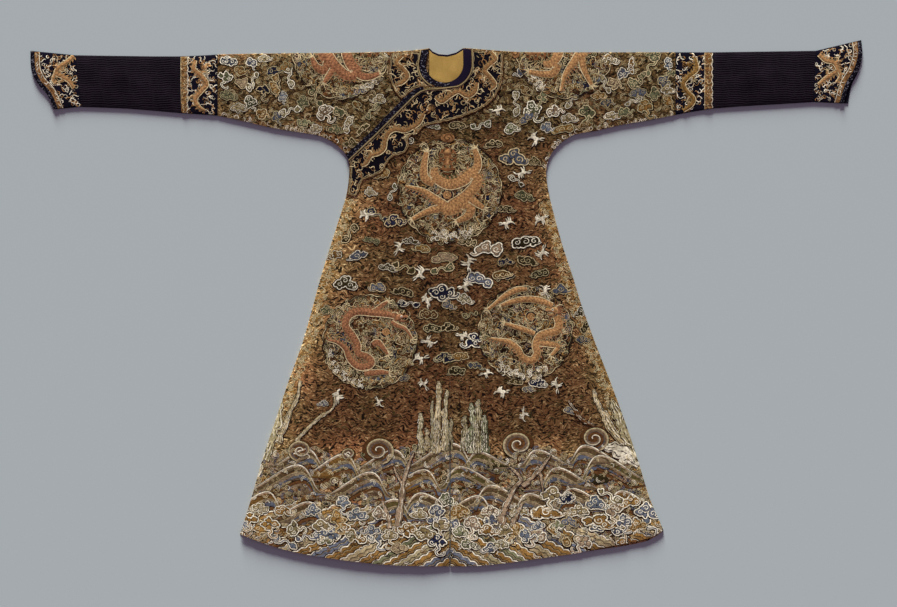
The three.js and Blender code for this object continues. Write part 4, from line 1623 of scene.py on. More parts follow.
TRIMMINGS = (
    Cut("cuff_binding_right", "binding", "binding", (0.012, 0.20), 1.0, ("cuff_right",)),
    Cut("cuff_binding_left", "binding", "binding", (0.012, 0.21), 1.0, ("cuff_left",)),
    Cut("collar_facing", "facing", "navy_brocade", (0.43, 0.40), 0.36, ("left_body", "overlap")),
    Cut("collar_facing_under", "facing", "navy_brocade", (0.131, 0.132), 0.6, ("right_body",)),
    Cut("neck_binding_right", "binding", "binding", (0.017, 0.14), 1.0, ("collar_facing_under",)),
    Cut("neck_binding_left", "ring", "binding", (0.017, 0.14), 1.0, ("collar_facing",)),
    Cut("back_neck_binding", "ring", "binding", (0.010, 0.062), 1.0, ("right_body", "left_body")),
    Cut("closure_binding", "binding", "binding", (0.013, 0.30), 1.0, ("overlap",)),
    Cut("neck_lining", "lining", "lining", (0.092, 0.088), 0.8, ("right_body", "left_body"), LINING_CELL),
)


class Garment:
    """The cloth itself: every cut piece, the cords, and where each can be embroidered."""

    # Faces above these heights are a piece's upper side.
    WALL_ABOVE = 3.9 * MM
    TRIMMING_ABOVE = 2.5 * MM
    CORD_ABOVE = 6.5 * MM
    RIB_PITCH = 6.2 * MM
    RIB_HEIGHT = 0.45 * MM
    PUFF = 0.9 * MM  # height of the lining's small folds
    CORD_CELL = (2.5 * MM, 2.5 * MM)
    CORDS = {"neck_cord": "collar_facing_under", "closure_cord": "collar_facing"}  # each on its facing
    COVERS = {
        "right_body": ("overlap", "collar_facing_under"),
        "left_body": ("overlap", "collar_facing", "closure_cord"),
        "overlap": ("collar_facing", "closure_binding"),
        "cuff_right": ("cuff_binding_right",),
        "cuff_left": ("cuff_binding_left",),
        "collar_facing": ("neck_binding_left", "closure_cord", "closure_binding"),
        "collar_facing_under": ("neck_binding_right", "neck_cord"),
    }

    def __init__(self, finishes: dict[str, Material]) -> None:
        """Reads the upper sides from the frame, and notes which pieces cover which.

        Args:
            finishes: Materials by key.
        """
        self.finishes = finishes
        self.shells: dict[str, Solid] = {}
        self.cloths = {cut.node: Cloth(cut.node, self.WALL_ABOVE) for cut in WALLS}
        self.silhouette = joined_outline(list(self.cloths.values()))
        self.drape = Drape(self.silhouette)
        self.cloths |= {cut.node: Cloth(cut.node, self.TRIMMING_ABOVE) for cut in TRIMMINGS}
        self.cloths |= {node: Cloth(node, self.CORD_ABOVE) for node in self.CORDS}
        for node, cloth in self.cloths.items():
            cloth.drape = self.drape
            cloth.covers = [self.cloths[cover] for cover in self.COVERS.get(node, ())]

    def build(self) -> None:
        """Makes every cut piece, and each couched cord rounded on its strip."""
        for cut in (*WALLS, *TRIMMINGS):
            shell = cloth_shell(f"{cut.node}_cloth", cut.node, cut.cell, self.drape)
            if cut.finish == "silk":
                lifted(shell.data, self.ribs)
            if cut.finish == "lining":
                lifted(shell.data, self.puffs)
            self.finish(shell, cut.node, cut.finish, cut.slot)
        for node in self.CORDS:
            shell = cloth_shell(f"{node}_twist", node, self.CORD_CELL, self.drape)
            self.finish(shell, node, "cord", "cord")

    def finish(self, shell: Solid, node: str, finish: str, slot: str) -> None:
        """Gives a shell its edge marks, its map and its material, and puts it in its node's place.

        The map shows the shell from above, upward faces on its left half and the rest on its right.

        Args:
            shell: The shell.
            node: The frame's node.
            finish: Key of its finish.
            slot: The record's material slot; not used.
        """
        mesh = shell.data
        co = corners_of(mesh)
        for name, value in zip(("Edge", "Olive"), self.marks(co)):
            mesh.attributes.new(name, "FLOAT", "POINT").data.foreach_set("value", value.astype(np.float32))
        low, high = co[:, :2].min(0), co[:, :2].max(0)
        plan = (co[:, :2] - low) / (high - low) * (0.48, 0.98) + (0.01, 0.01)
        normal = np.empty(len(mesh.polygons) * 3, np.float32)
        mesh.polygons.foreach_get("normal", normal)
        bake_map(mesh, plan, np.repeat(np.where(normal[2::3] > 0, 0, 0.5), 3))
        mesh.materials.append(self.finishes[finish])
        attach(shell, "root")
        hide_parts(node)
        self.shells[node] = shell
        log.info("%s: %d triangles", shell.name, len(mesh.polygons))

    def marks(self, co: Array) -> tuple[Array, Array]:
        """How much lighter the cloth is at corners (n, 3), and how much more olive.

        It is lighter near the sides, exp(-depth / 44 mm), more so on the wearer's right, and above
        the hem. It is olive near the sides and towards the shoulders.
        """
        x, y = co[:, 0], co[:, 1]
        edge = np.exp(np.minimum(self.silhouette(co[:, :2]), 0) / (44 * MM))
        edge *= np.where(x < 0, 1.0, 0.6) * np.clip((0.42 - y) / 0.1, 0.25, 1)
        olive = np.maximum(edge, 0.75 * np.clip((y - 0.40) / 0.12, 0, 1))
        edge = edge * np.where(x < 0, 1.35, 1.0)
        return np.maximum(edge, 0.5 * np.clip((-0.34 - y) / 0.08, 0, 1)), olive

    def ribs(self, co: Array) -> Array:
        """Heights of the plain sleeve's ribs: waves across Y whose line wanders slowly along X."""
        wander = 1.1 * MM * np.sin(co[:, 0] * 95) + 0.7 * MM * np.sin(co[:, 0] * 241 + co[:, 1] * 60)
        wave = np.sin((co[:, 1] + wander) * 2 * math.pi / self.RIB_PITCH)
        depth = np.clip(-self.silhouette(co[:, :2]) / (8 * MM), 0, 1)
        return self.RIB_HEIGHT * wave * depth * (co[:, 2] > FRONT_LOW - 0.3 * MM)

    def puffs(self, co: Array) -> Array:
        """Heights of small folds in the lining: waves that run down from the left of the neck."""
        low, high = (np.array(corner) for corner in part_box("neck_lining"))
        u, v = ((co[:, i] - low[i]) / (high[i] - low[i]) for i in range(2))
        inner = np.clip(np.minimum(u, 1 - u) * 8, 0, 1) * np.clip(np.minimum(v, 1 - v) * 8, 0, 1)
        wave = 0.5 + 0.5 * np.sin(7 * u + 3.5 * v + 1.2 * np.sin(5 * v))
        return self.PUFF * wave * inner * (co[:, 2] > 2.9 * MM)

    def declare(self, stitched: dict[str, list[Solid]]) -> None:
        """Gathers, for each cut piece, the embroidery and cords that lie on it; nothing more is done with
        them.

        Args:
            stitched: Embroidery on each node's cloth.
        """
        for cut in (*WALLS, *TRIMMINGS):
            with_pieces = list(stitched.get(cut.node, []))
            with_pieces += [self.shells[cord] for cord, on in self.CORDS.items() if on == cut.node]


# ---------------------------------------------------------------- the dragon roundels


FRONT_DRAGON = Dragon(
    body=(
        (-0.30, 0.44, 0.15), (-0.27, 0.26, 0.20), (-0.02, 0.12, 0.22), (0.26, 0.20, 0.23),
        (0.45, 0.34, 0.22), (0.52, 0.14, 0.22), (0.38, -0.05, 0.22), (0.20, -0.24, 0.30),
        (-0.04, -0.35, 0.28), (-0.22, -0.22, 0.18), (-0.50, -0.02, 0.11), (-0.86, 0.08, 0.06),
    ),
    limbs=(
        ((-0.30, 0.14, 0.17), (-0.48, 0.24, 0.17), (-0.50, 0.46, 0.14), (-0.45, 0.74, 0.10)),
        ((0.42, 0.30, 0.17), (0.53, 0.45, 0.17), (0.54, 0.62, 0.14), (0.48, 0.80, 0.10)),
        ((-0.08, -0.34, 0.18), (-0.34, -0.38, 0.14), (-0.54, -0.46, 0.11), (-0.72, -0.56, 0.08)),
        ((0.22, -0.24, 0.22), (0.40, -0.34, 0.20), (0.34, -0.50, 0.16), (0.14, -0.60, 0.09)),
        ((0.34, -0.12, 0.15), (0.54, -0.26, 0.13), (0.66, -0.34, 0.09)),
    ),
    head=(-0.04, 0.56, 0.235, 0),
    frontal=True,
)

SOUTHWEST_DRAGON = Dragon(
    body=(
        (0.52, 0.56, 0.12), (0.31, 0.61, 0.16), (0.03, 0.64, 0.18), (-0.27, 0.66, 0.18),
        (-0.47, 0.55, 0.17), (-0.52, 0.34, 0.17), (-0.38, 0.14, 0.17), (-0.27, -0.06, 0.16),
        (-0.25, -0.24, 0.15), (-0.07, -0.31, 0.16), (0.03, -0.43, 0.17), (-0.08, -0.53, 0.17),
        (-0.28, -0.50, 0.16), (-0.44, -0.34, 0.14), (-0.52, -0.14, 0.12), (-0.70, 0.00, 0.09),
        (-0.90, 0.04, 0.05),
    ),
    limbs=(
        ((0.05, 0.62, 0.14), (0.16, 0.70, 0.12), (0.28, 0.80, 0.10), (0.38, 0.86, 0.07)),
        ((0.46, 0.44, 0.08), (0.58, 0.35, 0.10), (0.76, 0.28, 0.08), (0.90, 0.08, 0.05)),
        ((0.06, -0.06, 0.14), (0.16, 0.00, 0.14), (0.28, -0.12, 0.11), (0.38, -0.26, 0.07)),
        ((-0.12, -0.66, 0.14), (0.06, -0.66, 0.14), (0.24, -0.64, 0.12), (0.40, -0.66, 0.08)),
    ),
    head=(0.66, 0.52, 0.15, 0),
    flip=True,
    thread=EMBER,
    fins=-1,
)

SOUTHEAST_DRAGON = Dragon(
    body=(
        (0.66, 0.36, 0.15), (0.72, 0.20, 0.18), (0.66, 0.04, 0.18), (0.48, 0.00, 0.17), (0.30, -0.08, 0.17),
        (0.22, -0.26, 0.16), (0.25, -0.44, 0.16), (0.14, -0.59, 0.16), (-0.06, -0.52, 0.15),
        (-0.17, -0.34, 0.14), (-0.34, -0.20, 0.12), (-0.54, -0.16, 0.09), (-0.74, -0.12, 0.05),
    ),
    limbs=(
        ((0.58, 0.58, 0.12), (0.34, 0.68, 0.15), (0.06, 0.72, 0.14), (-0.24, 0.68, 0.12),
         (-0.52, 0.58, 0.08)),
        ((0.04, 0.94, 0.09), (-0.18, 0.92, 0.13), (-0.42, 0.80, 0.12), (-0.62, 0.64, 0.09),
         (-0.80, 0.50, 0.06)),
        ((0.20, -0.02, 0.11), (0.0, 0.06, 0.12), (-0.20, 0.12, 0.11), (-0.44, 0.20, 0.07)),
        ((0.30, -0.22, 0.13), (0.52, -0.24, 0.14), (0.70, -0.30, 0.11), (0.56, -0.48, 0.07)),
    ),
    head=(0.60, 0.46, 0.17, 0),
)


@dataclass(frozen=True)
class Roundel:
    """A round field of swirling clouds with a dragon in it and a broken scalloped rim.

    Attributes:
        x: Middle.
        y: Middle.
        radius: Of the rim.
        dragon: Its dragon.
        turn: Degrees that the dragon is turned.
        foam: Where the rim's heap of pale curls starts and ends, degrees.
        pearl: Middle of the pearl in shares of the radius.
    """

    x: float
    y: float
    radius: float
    dragon: Dragon
    turn: float = 0
    foam: tuple[float, float] = (235, 305)
    pearl: tuple[float, float] = (-0.05, -0.09)

    SCALLOPS = 11  # half as many as there are round the rim
    FILLS = (MOSS, BARK, RUST, SLATE, RUST, NAVY, OCHRE, BARK, SLATE, RUST)
    ARCS = Swirls(32, (BARK, SAND, RUST, BONE), (0.2, 1.3), 0.9, 2.0, (6, 13), turns=0.5)
    HOOKS = Scrolls(30, (SAND, BARK, OCHRE, BONE), (0.3, 1.4), 1.0, length=(22, 40), bend=(2.0, 4.0))
    FROTH = Swirls(14, (SAND, BARK, CREAM), (0.7, 1.25), 1.1, size=(5, 9), turns=0.7)

    def patches(self, clouds: Cloudwork) -> list[Patch]:
        """Builds the roundel in place, from bottom to top.

        Args:
            clouds: Maker of the clouds.

        Returns:
            Its patches.
        """
        rng, r, middle = clouds.rng, self.radius, np.array([self.x, self.y])
        box = (*(middle - r), *(middle + r))

        def inside(points: Array) -> Array:
            """Distance to the scalloped rim."""
            off = points - middle
            angle = np.arctan2(off[:, 1], off[:, 0])
            scallop = 2.5 - 4.5 * np.abs(np.sin(angle * self.SCALLOPS))
            return np.linalg.norm(off, axis=1) - r + scallop * MM

        def foam(points: Array) -> Array:
            """Distance to the part of the outer fifth of the field between two angles."""
            off = points - middle
            angle = np.degrees(np.arctan2(off[:, 1], off[:, 0])) % 360
            first, last = self.foam
            ring = np.maximum(0.80 * r - np.linalg.norm(off, axis=1), inside(points))
            return np.maximum(ring, np.abs(angle - (first + last) / 2) / 400 - (last - first) / 800)

        parts = []
        for spot in scattered(box, 28 * MM, rng, lambda p: inside(p) < -6 * MM):
            shape = (HEAP, WISP, HEAD, LEAF)[rng.integers(4)]
            fill = self.FILLS[rng.integers(10)]
            cloud = clouds.cloud(shape, fill, (SAND, BONE, BONE, FAWN)[rng.integers(4)])
            cloud = cloud.raised(0.15 * rng.random())
            size, turn = rng.uniform(0.75, 1.05) * MM, rng.uniform(-180, 180)
            parts.append(clipped(cloud.moved(*spot, size, turn, rng.random() < 0.5), inside))
        parts += self.ARCS.strew(inside, box, rng)
        parts += self.HOOKS.strew(inside, box, rng)
        parts += self.FROTH.strew(foam, box, rng)
        parts += self.rim(middle)
        parts.append(self.flaming_pearl().moved(*(middle + np.array(self.pearl) * r), r))
        return [*parts, self.dragon.build(r).moved(self.x, self.y, r, self.turn).raised(0.55)]

    def rim(self, middle: Array) -> list[Patch]:
        """The scalloped rim, a thin line that comes and goes."""
        a = np.linspace(0, 2 * math.pi, 300, endpoint=False)
        scallop = self.radius + (4.5 * np.abs(np.sin(a * self.SCALLOPS)) - 2.5) * MM
        line = scallop[:, None] * heading(a)
        there = np.clip(0.3 + 0.6 * np.sin(a * 5.0 + self.x * 30) + 0.4 * np.sin(a * 13 + 1), 0, 1)
        return [
            ribbon(middle + line, 5 * MM, BARK, 0.4, 0.5, 0.1, 2, closed=True),
            ribbon(middle + line, 2.0 * there * MM, SAND, 0.3 + 0.7 * there, 1.2, 0.2, 2, closed=True),
            ribbon(middle + line * 0.965, 1.3 * (1 - there) * MM, SAGE, 0.8, 0.7, 0.1, 2, closed=True),
        ]

    @staticmethod
    def flaming_pearl() -> Patch:
        """The pearl: a dark-ringed disc with tongues of flame, in shares of the radius."""
        t = np.linspace(0, 1, 5)[None]
        bent = np.linspace(0, 2 * math.pi, 8, endpoint=False)[:, None] + 0.7 * t
        flames = heading(bent) * (0.11 + 0.1 * t)[..., None]
        return merged(
            [
                ribbon(flames, np.array([0.05, 0.05, 0.04, 0.025, 0.01]), EMBER, 0.6, 0.8, 0.2, 2),
                plate(circle(18, 0.14), NIGHT, 0.6, 0.5, 0.9, 0.1, 0.8),
                ribbon(circle(18, 0.125), 0.012, SAND, 0.8, 1.02, 0.1, 2, closed=True),
                plate(circle(14, 0.085), COPPER, 0.4, 0.9, 1.0, 0.3, 0.6),
                curls(np.zeros((1, 2)), 0.06, 0, 1, RUST, 0.014, 0.4, 1.35),
            ]
        )


ROUNDELS = (
    Roundel(0.010, 0.305, 0.139, FRONT_DRAGON, foam=(245, 300)),
    Roundel(-0.205, -0.104, 0.126, SOUTHWEST_DRAGON, foam=(188, 262), pearl=(0.34, 0.22)),
    Roundel(0.214, -0.079, 0.126, SOUTHEAST_DRAGON, foam=(228, 300), pearl=(0.12, 0.34)),
    Roundel(-0.284, 0.682, 0.130, replace(FRONT_DRAGON, thread=EMBER), -90, (300, 322), (-0.3, -0.05)),
    Roundel(0.320, 0.684, 0.130, FRONT_DRAGON, 90, (215, 242), (0.3, -0.05)),
)


# ---------------------------------------------------------------- clouds on the body and sleeves

# Each figure: x and y in mm, shape, thread, size and, for some, its turn in degrees.
BODY_SPOTS = (
    (-6, 121, BANK, FAWN, 1), (113, 145, BANK, FAWN, 1.35), (214, 165, BANK, MOSS, 1.2),
    (-64, 147, BANK, OCHRE, 0.8), (-96, 168, BANK, MOSS, 0.75), (-140, 222, HEAP, NAVY, 0.9),
    (-186, 238, WISP, NAVY, 0.9, -20), (179, 392, HEAP, SLATE, 1.2), (207, 288, BANK, SAGE, 0.9),
    (128, 429, BANK, MOSS, 0.8), (160, 255, BANK, MOSS, 0.8), (-237, 128, BANK, SLATE, 0.9),
    (-114, 96, WISP, MOSS, 1), (-10, 92, WISP, SAGE, 0.9, 10), (218, 114, BANK, MOSS, 0.9),
    (-274, 53, HEAP, MOSS, 0.96), (-181, 42, HEAP, SLATE, 0.8), (-116, 30, BANK, MOSS, 0.9),
    (-99, -2, WISP, NAVY, 0.8), (-47, -30, BANK, RUST, 0.9), (-40, -68, BANK, MOSS, 0.8),
    (-9, 28, HEAP, NAVY, 1.2), (-3, -147, HEAP, NAVY, 0.8), (94, 63, BANK, SLATE, 1.2),
    (149, 77, STACK, OCHRE, 0.9), (49, 11, HEAP, BONE, 0.72), (307, 34, BANK, SLATE, 0.9),
    (5, -6, HEAP, SLATE, 0.64), (66, -30, WISP, MOSS, 0.6, 20), (5, -65, HEAP, MOSS, 0.72),
    (77, -102, HEAP, NAVY, 1.04), (35, -144, BANK, OCHRE, 0.8), (77, -168, BANK, SLATE, 0.8),
    (29, -183, BANK, MOSS, 0.8), (380, -61, BANK, MOSS, 0.8, 60), (366, -97, HEAP, SLATE, 0.64),
    (363, -25, HEAP, MOSS, 0.64), (245, -213, HEAP, NAVY, 0.8), (221, -232, BANK, SLATE, 0.6),
    (190, -212, BANK, MOSS, 0.7), (240, 443, BIRD, CREAM, 1, 20), (207, 354, BIRD, CREAM, 0.9, 160),
    (258, 226, BAT, CREAM, 0.8, 60), (164, 215, BIRD, CREAM, 0.9, -20), (261, 136, BIRD, CREAM, 0.9, 100),
    (-125, 150, BIRD, CREAM, 0.9, 30), (59, 110, BIRD, CREAM, 1, -60), (-68, 78, BIRD, CREAM, 1, 10),
    (-216, 237, BAT, CREAM, 0.8, 40), (53, 46, BAT, CREAM, 0.8), (266, 32, BIRD, CREAM, 0.9, -30),
    (-50, 11, BAT, CREAM, 0.8, 80), (-47, -102, BIRD, CREAM, 0.9, 200), (46, -89, BAT, CREAM, 0.7, -40),
    (-300, 130, HEAP, OCHRE, 0.72), (-145, 300, WISP, SAGE, 0.7, 60), (190, 330, WISP, MOSS, 0.7, -30),
    (240, 380, HEAP, MOSS, 0.64), (95, 480, WISP, SAGE, 0.8, 15), (175, 470, HEAP, SAGE, 0.72),
    (30, 480, BANK, MOSS, 0.8), (140, 520, BIRD, CREAM, 0.8, -20), (-40, 480, BANK, SAGE, 0.7),
    (-110, 445, WISP, MOSS, 0.7, -40), (-172, 350, HEAP, OCHRE, 0.72), (-205, 300, HEAP, SAND, 0.56),
    (-258, 190, WISP, MOSS, 0.9, 60), (150, 8, HEAP, MOSS, 0.64), (330, -60, WISP, SLATE, 0.7, 90),
    (255, 80, BANK, MOSS, 0.8), (-160, 95, BANK, MOSS, 0.8), (-200, 170, BANK, SAGE, 0.7),
    (-30, 170, WISP, MOSS, 0.7), (60, 165, BANK, MOSS, 0.8), (160, 110, BANK, NAVY, 0.7),
    (-320, -20, HEAP, SAGE, 0.64), (-70, -150, BIRD, CREAM, 0.8, 40), (110, -190, BIRD, CREAM, 0.7, -20),
    (-110, -200, HEAP, SLATE, 0.56), (-60, -215, BIRD, CREAM, 0.7, 100), (150, -240, BAT, CREAM, 0.8, 30),
    (-290, -250, BAT, CREAM, 0.8, 60), (-180, -265, BIRD, CREAM, 0.6, 150),
    (300, -220, BIRD, CREAM, 0.8, 70), (210, -300, BIRD, CREAM, 0.7, 120), (330, -290, HEAP, SLATE, 0.56),
    (-330, -270, HEAP, SLATE, 0.48),
)
SLEEVE_SPOTS = (
    (234, 520, HEAD, SAGE, 1, 20), (291, 519, LEAF, FAWN, 0.9, 90), (210, 577, LEAF, OCHRE, 0.7, 40),
    (258, 556, LEAF, SAGE, 0.8, -20), (272, 474, LEAF, ICE, 0.8, 80), (318, 470, BANK, OCHRE, 0.9, 10),
    (379, 515, HEAD, SAGE, 1, -10), (434, 539, LEAF, SLATE, 0.7, 90), (482, 515, LEAF, SAGE, 0.8, 100),
    (455, 594, LEAF, FAWN, 0.8, 60), (478, 622, LEAF, SLATE, 0.8, 110), (506, 591, LEAF, SAGE, 0.8, 40),
    (500, 640, BANK, OCHRE, 0.7, 90), (552, 640, WISP, SAGE, 0.9, 60), (598, 646, LEAF, ICE, 0.7, 20),
    (586, 601, LEAF, SLATE, 0.8, 70), (540, 529, HEAD, OCHRE, 0.9, 10), (430, 590, WISP, BONE, 0.8, 110),
    (560, 567, HEAD, SAGE, 0.8, -80), (600, 545, LEAF, OCHRE, 0.8, 30), (340, 545, WISP, BONE, 0.7, 50),
    (330, 500, HEAP, SAND, 0.72), (520, 570, HEAP, SLATE, 0.72), (410, 560, HEAP, OCHRE, 0.64),
    (450, 505, HEAP, SAND, 0.64), (595, 575, HEAP, SAND, 0.64), (610, 620, HEAP, SAGE, 0.56),
    (205, 625, LEAF, SLATE, 0.8, -70), (190, 540, WISP, BONE, 0.8, 100), (440, 655, HEAP, SAND, 0.72),
    (560, 675, HEAP, SAGE, 0.64), (505, 545, WISP, BONE, 0.7, 20), (370, 478, BANK, OCHRE, 0.7, 20),
    (240, 600, HEAP, SAND, 0.64), (218, 500, BANK, SLATE, 0.8, 30), (530, 610, BANK, SAGE, 0.7, 60),
    (-556, 629, LEAF, OCHRE, 0.8, 80), (-550, 594, LEAF, FAWN, 0.8, 60), (-464, 627, LEAF, NAVY, 0.8, 90),
    (-461, 590, STACK, OCHRE, 0.9, 90), (-491, 575, HEAD, NAVY, 0.8), (-440, 560, LEAF, ICE, 0.7, 10),
    (-528, 543, LEAF, SAGE, 0.8, 30), (-525, 651, LEAF, SLATE, 0.7, 20), (-385, 545, LEAF, SAGE, 0.8),
    (-384, 488, LEAF, SAGE, 0.8, 90), (-327, 514, HEAD, FAWN, 0.9, 30), (-286, 514, LEAF, SAGE, 0.8, 80),
    (-455, 504, LEAF, SLATE, 0.8, 20), (-496, 514, LEAF, OCHRE, 0.8, 60), (-265, 480, BANK, SAND, 0.8, 70),
    (-590, 560, HEAP, SAGE, 0.72), (-595, 610, HEAD, SAGE, 0.8, -20), (-590, 655, HEAP, SLATE, 0.72),
    (-520, 600, WISP, BONE, 0.8, 70), (-420, 610, WISP, BONE, 0.8, 100), (-430, 640, HEAP, OCHRE, 0.64),
    (-350, 555, WISP, SAGE, 0.8, 120), (-420, 520, WISP, BONE, 0.8, 20), (-560, 528, HEAP, SAND, 0.64),
    (-240, 535, LEAF, OCHRE, 0.7, 40), (-205, 590, LEAF, ICE, 0.7, 100), (-195, 625, HEAD, SLATE, 0.8, 20),
    (-170, 660, LEAF, SAND, 0.8, 90), (-230, 575, HEAP, SLATE, 0.64), (-300, 470, HEAP, SAGE, 0.64),
    (-180, 550, HEAP, SAND, 0.64), (-490, 660, HEAP, SAND, 0.56), (-350, 470, HEAP, SAND, 0.56),
    (-200, 520, WISP, SAGE, 0.7, 45), (-255, 430, HEAP, MOSS, 0.64), (-225, 470, BANK, MOSS, 0.7, 45),
)
HEM_SPOTS = (
    (-278, -537, HEAD, ICE, 0.8), (-244, -571, HEAP, ICE, 0.8), (-292, -584, HEAD, OCHRE, 0.9),
    (-408, -605, HEAD, BONE, 0.8, 90), (-475, -597, HEAD, OCHRE, 0.9), (-528, -582, HEAD, OCHRE, 0.8),
    (-255, -628, HEAD, BONE, 0.7, 80), (-104, -612, HEAP, OCHRE, 0.9), (-24, -563, HEAD, SLATE, 0.8),
    (-12, -601, HEAD, SAND, 0.9), (-24, -643, HEAD, NAVY, 0.9), (284, -520, HEAD, SAND, 1),
    (268, -567, BANK, OCHRE, 1.3), (400, -543, HEAP, ICE, 0.9), (501, -535, HEAP, OCHRE, 0.8),
    (540, -563, HEAP, SLATE, 0.9), (404, -590, BANK, OCHRE, 1.2), (214, -625, HEAD, ICE, 0.8, 90),
    (36, -563, HEAP, OCHRE, 0.9), (40, -617, HEAP, SAGE, 0.8), (121, -660, HEAP, SLATE, 0.7),
    (-150, -628, HEAD, SAND, 0.8), (-200, -612, HEAP, ICE, 0.7), (-340, -600, HEAP, SAND, 0.8),
    (-360, -560, HEAP, ICE, 0.72), (-440, -560, HEAP, OCHRE, 0.72), (-500, -555, HEAP, SAND, 0.64),
    (-60, -622, HEAP, SAND, 0.9), (70, -598, HEAD, FAWN, 0.9), (110, -612, HEAP, OCHRE, 0.8),
    (160, -615, HEAD, SAND, 0.8), (330, -590, HEAP, SLATE, 0.7), (360, -560, HEAP, SAND, 0.8),
    (450, -560, HEAD, FAWN, 0.9), (480, -590, HEAD, SLATE, 0.8), (440, -520, WISP, BONE, 0.9, -30),
    (520, -600, HEAP, OCHRE, 0.64), (300, -600, HEAD, SAGE, 0.7), (250, -600, HEAP, ICE, 0.64),
    (60, -650, HEAP, SAGE, 0.72), (150, -650, HEAP, BONE, 0.64), (-130, -660, HEAP, FAWN, 0.64),
    (-320, -640, HEAP, SAGE, 0.64), (-540, -600, HEAP, SLATE, 0.56), (330, -525, HEAP, NAVY, 0.72),
    (0, -530, HEAP, SAGE, 0.72), (-70, -570, HEAP, SAND, 0.64), (-180, -570, HEAP, FAWN, 0.72),
    (200, -560, HEAP, SAND, 0.64), (120, -560, HEAP, FAWN, 0.72),
)


# ---------------------------------------------------------------- the hem: rocks, waves and stripes


